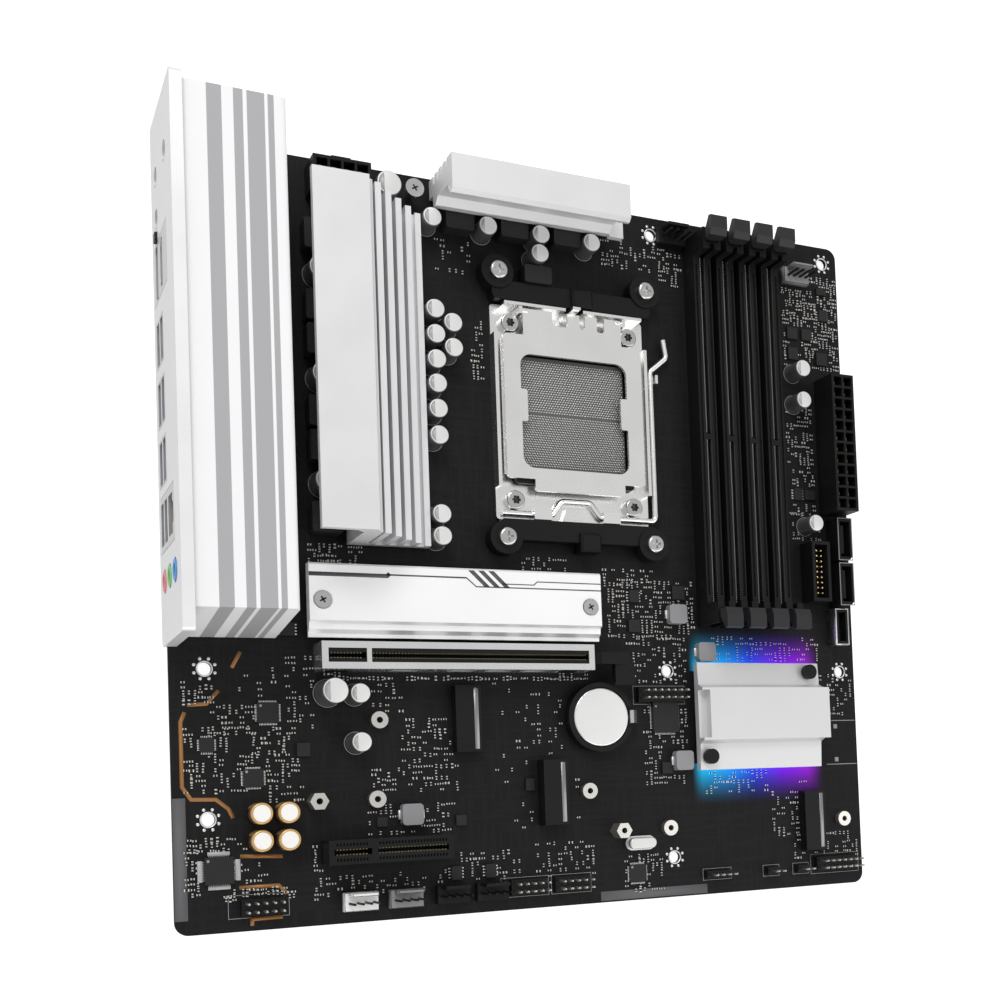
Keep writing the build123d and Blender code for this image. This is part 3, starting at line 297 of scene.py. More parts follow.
def glow_group():
    """Light spilled from under the chipset heatsink: colour runs from cyan through blue to purple along x, and
    strength falls off with the square of the distance from the sink's two long edges."""
    low, high = node_span("chipset_heatsink")
    group, given, out = new_group("light_spill", [("Vector", "NodeSocketVector", None)],
                                  [("Color", "NodeSocketColor")])
    split = group.nodes.new("ShaderNodeSeparateXYZ")
    group.links.new(given.outputs["Vector"], split.inputs[0])
    along = group.nodes.new("ShaderNodeMapRange")
    along.inputs["From Min"].default_value = CORNER[0] + (low[0] + 1.0) * MM
    along.inputs["From Max"].default_value = CORNER[0] + (high[0] - 4.0) * MM
    group.links.new(split.outputs["X"], along.inputs["Value"])
    ramp = group.nodes.new("ShaderNodeValToRGB")
    tones = ((0.0, (0.01, 0.5, 0.85)), (0.25, (0.01, 0.36, 1.0)), (0.5, (0.02, 0.07, 1.0)),
             (0.75, (0.2, 0.01, 0.95)), (1.0, (0.33, 0.01, 0.72)))
    while len(ramp.color_ramp.elements) < len(tones):
        ramp.color_ramp.elements.new(0.5)
    for element, (place, colour) in zip(ramp.color_ramp.elements, tones):
        element.position, element.color = place, (*colour, 1)
    group.links.new(along.outputs["Result"], ramp.inputs["Fac"])
    reach = 13.0
    spill = None
    for edge, way in ((low[1], -1), (high[1], 1)):
        fall = group.nodes.new("ShaderNodeMapRange")
        fall.inputs["From Min"].default_value = CORNER[1] - (edge + way * reach) * MM
        fall.inputs["From Max"].default_value = CORNER[1] - edge * MM
        group.links.new(split.outputs["Y"], fall.inputs["Value"])
        near = math_node(group, "POWER", fall.outputs["Result"], 2.0)
        outside = math_node(group, "LESS_THAN" if way > 0 else "GREATER_THAN", split.outputs["Y"],
                            CORNER[1] - (edge - way * 2.5) * MM)
        near = math_node(group, "MULTIPLY", near, outside)
        spill = near if spill is None else math_node(group, "ADD", spill, near)
    for start, end in ((low[0] - 0.8, low[0] + 4.0), (high[0] + 2.0, high[0] - 6.0)):
        side = group.nodes.new("ShaderNodeMapRange")
        side.interpolation_type = "SMOOTHSTEP"
        side.inputs["From Min"].default_value = CORNER[0] + start * MM
        side.inputs["From Max"].default_value = CORNER[0] + end * MM
        group.links.new(split.outputs["X"], side.inputs["Value"])
        spill = math_node(group, "MULTIPLY", spill, side.outputs["Result"])
    scale = group.nodes.new("ShaderNodeVectorMath")
    scale.operation = "SCALE"
    group.links.new(ramp.outputs["Color"], scale.inputs[0])
    group.links.new(spill, scale.inputs["Scale"])
    group.links.new(scale.outputs["Vector"], out.inputs["Color"])
    return group


def shared(name):
    makers = {"surface_grain": grain_group, "printed_band": band_group, "light_spill": glow_group}
    return bpy.data.node_groups.get(name) or makers[name]()


def use_group(tree, name, **values):
    node = tree.nodes.new("ShaderNodeGroup")
    node.node_tree = shared(name)
    for label, value in values.items():
        if isinstance(value, bpy.types.NodeSocket):
            tree.links.new(value, node.inputs[label])
        else:
            node.inputs[label].default_value = value
    return node


# ------------------------------------------------------------------ materials
def finish(name, colour, roughness, metallic=0.0, specular=0.5, grain=3000.0, blotch=60.0, depth=0.4,
           bump=0.1, shade=0.12, rough_span=0.1, coat=0.0, glow=False):
    """A material whose tone, roughness and bump all follow the shared grain."""
    if name in SETTLED:
        return SETTLED[name][0]
    material = bpy.data.materials.new(name)
    material.use_nodes = True
    tree = material.node_tree
    shader = tree.nodes["Principled BSDF"]
    shader.inputs["Metallic"].default_value = metallic
    shader.inputs["Specular IOR Level"].default_value = specular
    shader.inputs["Coat Weight"].default_value = coat
    shader.inputs["Coat Roughness"].default_value = 0.15
    place = tree.nodes.new("ShaderNodeTexCoord").outputs["Object"]
    grained = use_group(tree, "surface_grain", Vector=place, Grain=grain, Blotch=blotch, Depth=depth)
    tone = tree.nodes.new("ShaderNodeMix")
    tone.data_type = "RGBA"
    tone.inputs[6].default_value = (*[c * (1 - shade) for c in colour], 1)
    tone.inputs[7].default_value = (*[min(1.0, c * (1 + shade)) for c in colour], 1)
    tree.links.new(grained.outputs["Tone"], tone.inputs[0])
    tree.links.new(tone.outputs[2], shader.inputs["Base Color"])
    rough = tree.nodes.new("ShaderNodeMapRange")
    rough.inputs["To Min"].default_value = max(0.03, roughness - rough_span)
    rough.inputs["To Max"].default_value = roughness + rough_span
    tree.links.new(grained.outputs["Tone"], rough.inputs["Value"])
    tree.links.new(rough.outputs["Result"], shader.inputs["Roughness"])
    relief = tree.nodes.new("ShaderNodeBump")
    relief.inputs["Strength"].default_value = bump
    relief.inputs["Distance"].default_value = 0.00005
    tree.links.new(grained.outputs["Height"], relief.inputs["Height"])
    tree.links.new(relief.outputs["Normal"], shader.inputs["Normal"])
    if glow:
        spill = use_group(tree, "light_spill", Vector=place)
        tree.links.new(spill.outputs["Color"], shader.inputs["Emission Color"])
        shader.inputs["Emission Strength"].default_value = 1.0
    SETTLED[name] = (material, tree, shader, tone, place)
    return material


def tint_bands(name, bands, colour):
    """Prints bands of another colour across a finished material, between (start, end) board millimetres."""
    _, tree, shader, tone, place = SETTLED[name]
    split = tree.nodes.new("ShaderNodeSeparateXYZ")
    tree.links.new(place, split.inputs[0])
    mask = None
    for start, end in bands:
        band = use_group(tree, "printed_band", Value=split.outputs["X"],
                         Start=CORNER[0] + start * MM, End=CORNER[0] + end * MM).outputs["Mask"]
        mask = band if mask is None else math_node(tree, "MAXIMUM", mask, band)
    print_over = tree.nodes.new("ShaderNodeMix")
    print_over.data_type = "RGBA"
    tree.links.new(mask, print_over.inputs[0])
    tree.links.new(tone.outputs[2], print_over.inputs[6])
    print_over.inputs[7].default_value = (*colour, 1)
    tree.links.new(print_over.outputs[2], shader.inputs["Base Color"])


def laminate(colour):
    """Matt black solder mask over faint tracks of low relief: long fine cells stretched both ways are drawn
    lighter than the mask.
    """
    material = finish("board_laminate", colour, 0.5, specular=0.16, grain=900.0, blotch=30.0, shade=0.2,
                      glow=True)
    _, tree, shader, tone, place = SETTLED["board_laminate"]
    relief = None
    for name, scale in (("tracks_along", (1400, 90, 1)), ("tracks_across", (90, 1100, 1))):
        mapping = tree.nodes.new("ShaderNodeMapping")
        mapping.name = name
        mapping.inputs["Scale"].default_value = scale
        tree.links.new(place, mapping.inputs["Vector"])
        cells = tree.nodes.new("ShaderNodeTexVoronoi")
        cells.inputs["Scale"].default_value = 1.0
        tree.links.new(mapping.outputs[0], cells.inputs["Vector"])
        raised = math_node(tree, "GREATER_THAN", cells.outputs["Color"], 0.62)
        relief = raised if relief is None else math_node(tree, "MAXIMUM", relief, raised)
    brighten = tree.nodes.new("ShaderNodeMix")
    brighten.data_type = "RGBA"
    tree.links.new(math_node(tree, "MULTIPLY", relief, 0.5), brighten.inputs[0])
    tree.links.new(tone.outputs[2], brighten.inputs[6])
    brighten.inputs[7].default_value = (*[c * 1.7 for c in colour], 1)
    tree.links.new(brighten.outputs[2], shader.inputs["Base Color"])
    return material


def dress(nodes, material):
    """Gives CAD nodes their material, in place of the ones they had."""
    for name in nodes:
        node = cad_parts[name]
        node.data.materials.clear()
        node.data.materials.append(material)


def soften(nodes, width):
    """A weld, then a narrow rounded edge along every sharp corner of the named CAD nodes."""
    for name in nodes:
        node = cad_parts[name]
        weld = node.modifiers.new("weld", "WELD")
        weld.merge_threshold = 0.000002
        bevel = node.modifiers.new("bevel", "BEVEL")
        bevel.width = width * MM
        bevel.segments = 2
        bevel.limit_method = "ANGLE"
        bevel.angle_limit = np.radians(40)
        bevel.use_clamp_overlap = True


# ------------------------------------------------------------------ settings
class BoardColours(bpy.types.PropertyGroup):
    laminate: FloatVectorProperty(name="Solder mask", description="Colour of the circuit board", subtype="COLOR",
                                  size=3, min=0, max=1, default=(0.0065, 0.0065, 0.0072))
    plastic: FloatVectorProperty(name="Black plastic", description="Colour of sockets and slots", subtype="COLOR",
                                 size=3, min=0, max=1, default=(0.007, 0.007, 0.0078))
    shell: FloatVectorProperty(name="White shell", description="Colour of the cover over the ports",
                               subtype="COLOR", size=3, min=0, max=1, default=(0.86, 0.86, 0.87))
    band: FloatVectorProperty(name="Shell bands", description="Colour of the printed bands on the shell",
                              subtype="COLOR", size=3, min=0, max=1, default=(0.4, 0.4, 0.41))
    silver: FloatVectorProperty(name="Heatsinks", description="Colour of the heatsinks", subtype="COLOR",
                                size=3, min=0, max=1, default=(0.83, 0.83, 0.84))
    copper: FloatVectorProperty(name="Guard line", description="Colour of the bare line round the audio parts",
                                subtype="COLOR", size=3, min=0, max=1, default=(0.33, 0.15, 0.045))
    ink: FloatVectorProperty(name="Printing", description="Colour of the printed outlines", subtype="COLOR",
                             size=3, min=0, max=1, default=(0.3, 0.3, 0.3))


class BoardSizes(bpy.types.PropertyGroup):
    chip_length: FloatProperty(name="Chip length", description="Length of a small chip resistor, mm",
                               default=1.0, min=0.4, max=3.2)
    chip_width: FloatProperty(name="Chip width", description="Width of a small chip resistor, mm",
                              default=0.55, min=0.2, max=1.6)
    contact_pitch: FloatProperty(name="Memory contact pitch", description="Distance between memory contacts, mm",
                                 default=0.85, min=0.4, max=2.0)
    seed: IntProperty(name="Scatter seed", description="Seed of the small parts' scatter", default=7, min=0)
    lens: FloatProperty(name="Lens", description="Focal length of the camera, mm", default=51.7, min=10)
    shift: FloatVectorProperty(name="Shift", description="Camera shift as a share of the frame", size=2,
                               default=(-0.268, 0.232))


def colours():
    return bpy.context.scene.board_colours


def sizes():
    return bpy.context.scene.board_sizes


def black_plastic():
    return finish("black_plastic", colours().plastic, 0.42, specular=0.2, grain=2400.0, bump=0.18, shade=0.25)


def bright_steel():
    return finish("bright_steel", (0.72, 0.72, 0.72), 0.26, metallic=1.0, grain=1800.0, bump=0.05, shade=0.06)


def tin():
    return finish("tinned_ends", (0.74, 0.74, 0.73), 0.34, metallic=0.7, grain=5000.0, shade=0.1)


def gold():
    return finish("gold_plate", (0.78, 0.6, 0.3), 0.28, metallic=1.0, grain=4000.0, shade=0.08)


def ink():
    return finish("white_ink", colours().ink, 0.6, specular=0.2, grain=5000.0, shade=0.12)


# ------------------------------------------------------------------ operators
class BOARD_OT_base(bpy.types.Operator):
    """Board material with its mounting rings, solder dots and light edge strips"""
    bl_idname = "board.base"
    bl_label = "Circuit board"

    def execute(self, context):
        dress(["pcb"], laminate(colours().laminate))
        dots = [(x + 3.25 * np.cos(a), y + 3.25 * np.sin(a)) for x, y in MOUNTING_HOLES
                for a in np.radians(np.arange(8) * 45 + 22.5)]
        put("solder_dots", turned(dots, [(0.5, 0.0), (0.5, 0.1), (0.36, 0.24), (0.12, 0.3)], 10), tin(),
            smooth=True)
        rims = turned(MOUNTING_HOLES, [(2.0, 0.0), (2.0, 0.05), (2.45, 0.05), (2.45, 0.0)], 32, closed=True)
        put("hole_rims", rims, tin())
        strip = finish("pale_strip", (0.125, 0.125, 0.13), 0.55, specular=0.2, grain=1500.0, shade=0.06)
        strips = joined([blocks([(1.95, 221.1)], [(3.7, 36.6)], 0.0, 0.05),
                         blocks([(157.0, 241.7)], [(41.0, 3.2)], 0.0, 0.05)])
        put("pale_strips", strips, strip)
        return {"FINISHED"}


class BOARD_OT_guard(bpy.types.Operator):
    """Copper guard line round the audio parts"""
    bl_idname = "board.guard"
    bl_label = "Guard line"

    def execute(self, context):
        copper = finish("bare_copper", colours().copper, 0.45, metallic=0.35, grain=2500.0, shade=0.18)
        runs = [[(20.6, 158.6), (18.0, 163.5)], [(14.0, 170.5), (10.5, 174.5), (5.0, 174.8)],
                [(4.2, 177.0), (3.0, 180.0), (3.0, 199.5), (5.5, 203.3), (12.5, 203.5), (16.0, 206.5),
                 (17.3, 209.3)],
                [(19.0, 221.0), (31.5, 221.7)], [(18.5, 230.5), (30.0, 230.5), (32.0, 232.5), (32.0, 233.4)],
                [(22.0, 242.3), (22.0, 240.3), (31.0, 240.2)]]
        put("guard_line", joined([ribbon(run, 1.15, 0.0, 0.06) for run in runs]), copper)
        return {"FINISHED"}


class BOARD_OT_small_parts(bpy.types.Operator):
    """Chip resistors and capacitors in the clusters where the board carries them"""
    bl_idname = "board.small_parts"
    bl_label = "Small parts"

    def execute(self, context):
        rng = np.random.default_rng(sizes().seed)
        # each cluster: low x, low y, high x, high y, pitch across, pitch down, share filled
        clusters = [(4, 168, 12, 174, 1.6, 1.5, 0.75), (12, 175, 24, 184, 1.7, 1.6, 0.6),
                    (4, 182, 16, 192, 1.7, 1.6, 0.45), (22, 182, 36, 190, 1.5, 1.5, 0.55),
                    (4, 193, 21, 201, 1.7, 1.6, 0.55), (20, 190, 37, 196, 1.5, 1.6, 0.6),
                    (28, 196, 38, 205, 1.9, 2.0, 0.6), (4, 215, 21, 219.5, 1.6, 1.6, 0.7),
                    (3.6, 219, 7, 232, 1.6, 1.6, 0.6), (14, 231.5, 35, 234, 1.25, 1.25, 0.85),
                    (19, 223, 28, 229.5, 1.8, 1.7, 0.4), (60, 168, 70, 178, 2.2, 2.1, 0.5),
                    (69, 180, 88, 203, 1.75, 1.9, 0.5), (58, 207, 86, 217, 1.7, 1.7, 0.5),
                    (44, 229, 76, 235, 1.9, 1.7, 0.45), (80, 224, 108, 235, 1.8, 1.7, 0.5),
                    (100, 168, 112, 200, 2.6, 2.4, 0.22), (112, 172, 124, 192, 2.0, 2.0, 0.35),
                    (104, 200, 132, 218, 2.8, 2.6, 0.25), (114, 222, 134, 234, 2.0, 1.8, 0.4),
                    (146, 228, 160, 241, 1.7, 1.7, 0.5), (143, 132, 176, 152, 1.8, 1.75, 0.6),
                    (150, 152, 172, 168, 2.0, 1.9, 0.4), (155, 174, 172, 204, 1.8, 1.8, 0.5),
                    (181, 151, 228, 160, 2.0, 1.9, 0.45), (178, 200, 204, 208, 1.9, 1.7, 0.5),
                    (206, 205, 220, 224, 2.0, 1.9, 0.45), (226, 165, 242, 180, 1.9, 1.8, 0.5),
                    (214, 224, 242, 234, 1.8, 1.7, 0.55), (219, 12, 243, 48, 1.55, 1.45, 0.68),
                    (219, 64, 231, 104, 1.7, 1.6, 0.55), (219, 104, 232, 114, 1.9, 1.8, 0.5),
                    (146, 9, 166, 20, 1.8, 1.7, 0.5), (168, 11, 178, 24, 1.6, 1.6, 0.5),
                    (97, 46, 101, 66, 1.5, 1.9, 0.75), (112, 125, 128, 130, 1.9, 1.7, 0.6),
                    (42, 124, 58, 130, 1.6, 1.6, 0.7), (142, 128, 160, 134, 1.8, 1.7, 0.5),
                    (85, 20, 98, 30, 2.2, 2.0, 0.3), (46, 164.8, 134, 167.2, 1.35, 1.3, 0.85),
                    (34, 160, 42, 182, 1.8, 1.8, 0.5), (41, 217.5, 43, 236, 1.5, 1.5, 0.6),
                    (20, 164, 34, 172, 2.0, 2.0, 0.4), (60, 196, 68, 204, 1.6, 1.6, 0.5)]
        solid = [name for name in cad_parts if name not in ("pcb", "socket_contacts")]
        corners, triangles, shift = [], [], 0
        for name in solid:
            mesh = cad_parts[name].data
            mesh.calc_loop_triangles()
            co = np.empty(len(mesh.vertices) * 3)
            mesh.vertices.foreach_get("co", co)
            tri = np.empty(len(mesh.loop_triangles) * 3, np.int64)
            mesh.loop_triangles.foreach_get("vertices", tri)
            corners.append(co.reshape(-1, 3))
            triangles.append(tri.reshape(-1, 3) + shift)
            shift += len(mesh.vertices)
        tree = BVHTree.FromPolygons(np.concatenate(corners).tolist(), np.concatenate(triangles).tolist())
        holes = np.array(MOUNTING_HOLES)
        length, width = sizes().chip_length, sizes().chip_width
        kept = []
        for x0, y0, x1, y1, dx, dy, share in clusters:
            centre = ((x0 + x1) / 2, (y0 + y1) / 2)
            places = grid(centre, (dx, dy), (int((x1 - x0) / dx) + 1, int((y1 - y0) / dy) + 1))
            rows = np.round((places[:, 1] - y0) / (dy * 3)) + np.round((places[:, 0] - x0) / (dx * 4))
            upright = (rows.astype(int) % 2).astype(bool)
            picked = rng.random(len(places)) < share
            places = places + rng.normal(0, 0.08, places.shape)
            for place, up in zip(places[picked], upright[picked]):
                if np.min(np.linalg.norm(holes - place, axis=1)) < HOLE_CLEARANCE:
                    continue
                if min(*place, *(BOARD - place)) <= EDGE_CLEARANCE:
                    continue
                spot = Vector(in_frame([(place[0], -place[1], 0.35)])[0])
                if tree.find_nearest(spot, PART_CLEARANCE * MM)[0] is None:
                    kept.append((*place, up))
        kept = np.array(kept)
        places, upright = kept[:, :2], kept[:, 2].astype(bool)
        grown = np.where(rng.random(len(places)) < LARGE_SHARE, LARGE_SCALE, 1.0)[:, None]
        along = np.where(upright[:, None], (0.0, 1.0), (1.0, 0.0))
        across = 1 - along
        body_size = (along * length * BODY_SHARE + across * width) * grown
        end_size = (along * length * END_SHARE + across * width * END_WIDTH) * grown
        step = along * length * END_PLACE * grown
        tone = rng.random(len(places))
        brown = finish("ceramic_brown", (0.11, 0.075, 0.05), 0.5, specular=0.3, grain=4000.0)
        black = finish("resistor_black", (0.012, 0.012, 0.014), 0.45, specular=0.3, grain=4000.0)
        for name, chosen, material in (("ceramic_chips", tone < 0.45, brown),
                                       ("resistor_chips", tone >= 0.45, black)):
            put(name, blocks(places[chosen], body_size[chosen], 0.0, 0.36, 0.03), material)
        ends = joined([blocks(places + way * step, end_size, 0.0, 0.38, 0.05) for way in (-1, 1)])
        bright = finish("bright_solder", (0.62, 0.62, 0.6), 0.4, metallic=0.45, grain=5000.0, shade=0.15,
                        glow=True)
        put("chip_ends", ends, bright)
        return {"FINISHED"}


class BOARD_OT_chips(bpy.types.Operator):
    """Finish of the chip packages, with their legs, dimples and pads"""
    bl_idname = "board.chips"
    bl_label = "Chips and inductors"

    def execute(self, context):
        epoxy = finish("epoxy_black", (0.014, 0.014, 0.015), 0.5, specular=0.3, grain=2500.0, bump=0.12,
                       shade=0.2)
        dress(["ic_packages", "chokes"], epoxy)
        dress(["inductors"], finish("ferrite", (0.26, 0.26, 0.27), 0.55, grain=2000.0, bump=0.2))
        legs = []
        # package centre, half lengths to the legs across and down, legs on a side, and pitch; every package gets
        # legs on all four sides
        quads = [((12.8, 225.0), 4.6, 4.5, 12, 0.5), ((163.2, 180.4), 5.3, 5.6, 16, 0.5),
                 ((28.2, 177.4), 3.4, 3.4, 12, 0.45), ((23.4, 197.4), 3.2, 3.0, 10, 0.45),
                 ((150.4, 234.6), 3.3, 3.3, 12, 0.45), ((10.2, 187.0), 2.3, 2.4, 7, 0.5)]
        for (x, y), half_x, half_y, count, pitch in quads:
            for way in (-1, 1):
                sides = grid((x + way * half_x, y), (1, pitch), (1, count))
                ends = grid((x, y + way * half_y), (pitch, 1), (count, 1))
                legs.append(blocks(sides, (0.8, 0.24), 0.0, 0.2, 0.04))
                legs.append(blocks(ends, (0.24, 0.8), 0.0, 0.2, 0.04))
        for (x, y), half, count in (((85.8, 230.3), 2.1, 4), ((97.4, 230.3), 2.1, 4), ((152.8, 137.6), 2.2, 4),
                                    ((236.4, 27.0), 2.2, 4), ((222.2, 96.8), 2.1, 4), ((34.6, 151.4), 2.6, 4)):
            for way in (-1, 1):
                sides = grid((x + way * half, y), (1, 1.0), (1, count))
                legs.append(blocks(sides, (0.9, 0.42), 0.0, 0.22, 0.05))
        put("chip_legs", joined(legs), tin())
        bars = joined([blocks([(7.4, 225.0), (18.2, 225.0)], [(1.5, 6.4)], 0.0, 0.5, 0.1),
                       blocks([(12.8, 219.9), (12.8, 230.1)], [(6.4, 1.2)], 0.0, 0.5, 0.1)])
        pale = finish("pale_bar", (0.42, 0.42, 0.42), 0.5, metallic=0.2, grain=3000.0)
        put("codec_bars", bars, pale)
        dimples = [(26.0, 175.2, 0.9), (21.4, 195.4, 0.9), (9.6, 222.0, 1.4), (159.4, 176.4, 1.4),
                   (148.2, 232.4, 0.9)]
        dots = joined([turned([(x, y)], [(0.42, z), (0.42, z + 0.02), (0.3, z + 0.03)], 14)
                       for x, y, z in dimples])
        put("chip_dots", dots, ink())
        inductors = [(71.5, 210.6), (168.8, 143.7), (169.1, 195.8), (179.7, 157.1)]
        feet = joined([blocks(np.array(inductors) + (way * 3.7, 0), (1.0, 3.0), 0.0, 1.5, 0.15)
                       for way in (-1, 1)])
        put("inductor_feet", feet, tin())
        return {"FINISHED"}


class BOARD_OT_capacitors(bpy.types.Operator):
    """Capacitor cans with printed half moons, lids, beads and seating rings"""
    bl_idname = "board.capacitors"
    bl_label = "Capacitors"

    def execute(self, context):
        can = finish("drawn_can", (0.22, 0.22, 0.225), 0.4, metallic=0.75, grain=3500.0, shade=0.05)
        dress(["solid_capacitors"], can)
        dress(["crystal"], finish("crystal_can", (0.7, 0.7, 0.69), 0.35, metallic=0.8, grain=3500.0))
        sleeve = finish("gold_sleeve", (0.62, 0.39, 0.13), 0.3, metallic=0.35, grain=1500.0, coat=0.5)
        dress(["audio_capacitors"], sleeve)
        moons, rings, beads, lids = [], [], [], []
        for (x, y), top, radius in round_tops("solid_capacitors"):
            outline = arc((x, y), radius - 0.55, 118, 242)
            lids.append(turned([(x, y)], [(radius - 0.25, top), (radius - 0.4, top + 0.04), (0.4, top + 0.04)],
                               40))
            moons.append(plate(outline, top + 0.03, top + 0.06))
            rings.append(turned([(x, y)], [(radius + 0.25, 0.0), (radius + 0.25, 0.04), (radius + 0.5, 0.04),
                                           (radius + 0.5, 0.0)], 40, closed=True))
            beads.append(turned([(x, y)], [(radius + 0.02, 0.5), (radius + 0.02, 1.1), (radius - 0.2, 1.3),
                                           (radius - 0.2, 0.3)], 40, closed=True))
        put("can_lids", joined(lids), finish("can_lid", (0.74, 0.74, 0.73), 0.4, metallic=0.35, grain=3500.0,
                                             shade=0.05), smooth=True)
        grey = finish("can_print", (0.42, 0.42, 0.42), 0.5, metallic=0.3, grain=3000.0)
        put("can_moons", joined(moons), grey)
        put("can_rings", joined(rings), ink())
        put("can_beads", joined(beads), can, smooth=True)
        white = finish("white_top", (0.88, 0.87, 0.84), 0.4, grain=3000.0, shade=0.04)
        tops, bands = [], []
        for (x, y), top, radius in round_tops("audio_capacitors"):
            tops.append(turned([(x, y)], [(radius - 0.7, top), (radius - 0.8, top + 0.06), (0.4, top + 0.06)],
                               36))
            bands.append(plate(arc((x, y), radius - 0.1, 150, 235) + arc((x, y), radius + 0.12, 235, 150),
                               0.6, top - 0.7))
        put("audio_tops", joined(tops), white)
        brown = finish("sleeve_stripe", (0.06, 0.025, 0.015), 0.35, grain=2000.0, coat=0.4)
        put("audio_stripes", joined(bands), brown)
        return {"FINISHED"}


def round_tops(name):
    """Centre, top and radius of each solid of a CAD node. Corners at one place count as one corner, and each
    takes the lowest label along its edges until none changes, which leaves one label for each solid."""
    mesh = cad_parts[name].data
    co = np.empty(len(mesh.vertices) * 3)
    mesh.vertices.foreach_get("co", co)
    co = (co.reshape(-1, 3) - CORNER) / MM
    same = np.unique(np.round(co, 3), axis=0, return_inverse=True)[1].ravel()
    ends = np.empty(len(mesh.edges) * 2, np.int32)
    mesh.edges.foreach_get("vertices", ends)
    ends = same[ends.reshape(-1, 2)]
    label, before = np.arange(same.max() + 1), None
    while not np.array_equal(before, label):
        before = label.copy()
        lowest = label[ends].min(1)
        np.minimum.at(label, ends[:, 0], lowest)
        np.minimum.at(label, ends[:, 1], lowest)
    found = []
    for solid in np.unique(label):
        own = co[label[same] == solid]
        low, high = own.min(0), own.max(0)
        found.append((((low[0] + high[0]) / 2, -(low[1] + high[1]) / 2), high[2], (high[0] - low[0]) / 2))
    return found


class BOARD_OT_cover(bpy.types.Operator):
    """White shell over the ports, with its printed bands, and the shield behind it"""
    bl_idname = "board.cover"
    bl_label = "Port cover and shield"

    def execute(self, context):
        shell = finish("white_shell", colours().shell, 0.38, specular=0.35, grain=2600.0, bump=0.1, shade=0.02)
        tint_bands("white_shell", [(9.0, 13.1), (16.3, 18.9), (20.0, 24.9), (25.8, 27.5)], colours().band)
        dress(["io_cover"], shell)
        soften(["io_cover"], 0.4)
        shield = finish("shield_steel", (0.86, 0.86, 0.87), 0.35, metallic=0.35, grain=1500.0, shade=0.04)
        dress(["io_shield"], shield)
        return {"FINISHED"}


class BOARD_OT_ports(bpy.types.Operator):
    """Tongues and contacts inside the rear ports, and coloured rings of the audio jacks"""
    bl_idname = "board.ports"
    bl_label = "Rear ports"

    def execute(self, context):
        shell = finish("port_shell", (0.7, 0.7, 0.71), 0.3, metallic=1.0, grain=1500.0, shade=0.05)
        dress(["usb_stacks", "lan_usb_stack", "display_ports"], shell)
        dress(["audio_jacks", "bios_switch", "bios_button"], black_plastic())
        tongues, floors = [], []
        for y in (67.5, 85.5, 103.4, 121.6):
            for z in (4.3, 11.9):
                tongues.append(blocks([(5.4, y)], [(10.6, 11.6)], z + 0.5, z + 2.1, 0.2))
                floors.append(blocks(grid((5.2, y), (1, 2.5), (1, 4)), (8.0, 1.0), z + 0.3, z + 0.5))
        tongues.append(blocks([(5.4, 46.0)], [(8.0, 9.0)], 15.0, 16.0, 0.2))
        tongues.append(blocks([(5.4, 46.0)], [(8.0, 11.0)], 5.0, 6.0, 0.2))
        blue = finish("tongue_blue", (0.012, 0.03, 0.12), 0.4, grain=2500.0)
        put("port_tongues", joined(tongues), blue)
        put("port_contacts", joined(floors), gold())
        wires = blocks(grid((5.0, 121.6), (1, 1.02), (1, 8)), (8.0, 0.4), 24.6, 25.0)
        put("lan_contacts", wires, gold())
        for name, z, colour in (("jack_pink", 6.2, (0.75, 0.25, 0.27)), ("jack_green", 17.6, (0.2, 0.55, 0.2)),
                                ("jack_blue", 29.0, (0.1, 0.3, 0.7))):
            plastic = finish(name + "_plastic", colour, 0.35, grain=2500.0)
            put(name, jack_ring(138.6, z), plastic, smooth=True)
        return {"FINISHED"}


def jack_ring(y, z):
    """A bevelled ring lying on the shield: a closed profile of (radius, stand-out) carried round the bore."""
    profile = np.array([(1.95, 0.0), (1.95, 0.35), (2.2, 0.55), (3.0, 0.55), (3.2, 0.35), (3.2, 0.0),
                        (1.95, 0.0)])
    angle = np.linspace(0, 2 * np.pi, 32, endpoint=False)
    out = np.broadcast_to(-0.85 - profile[:, 1, None], (len(profile), len(angle)))
    across = -y - profile[:, 0, None] * np.cos(angle)
    up = z + profile[:, 0, None] * np.sin(angle)
    return rings_to_solids(np.stack([out, across, up], -1)[None], caps=False)


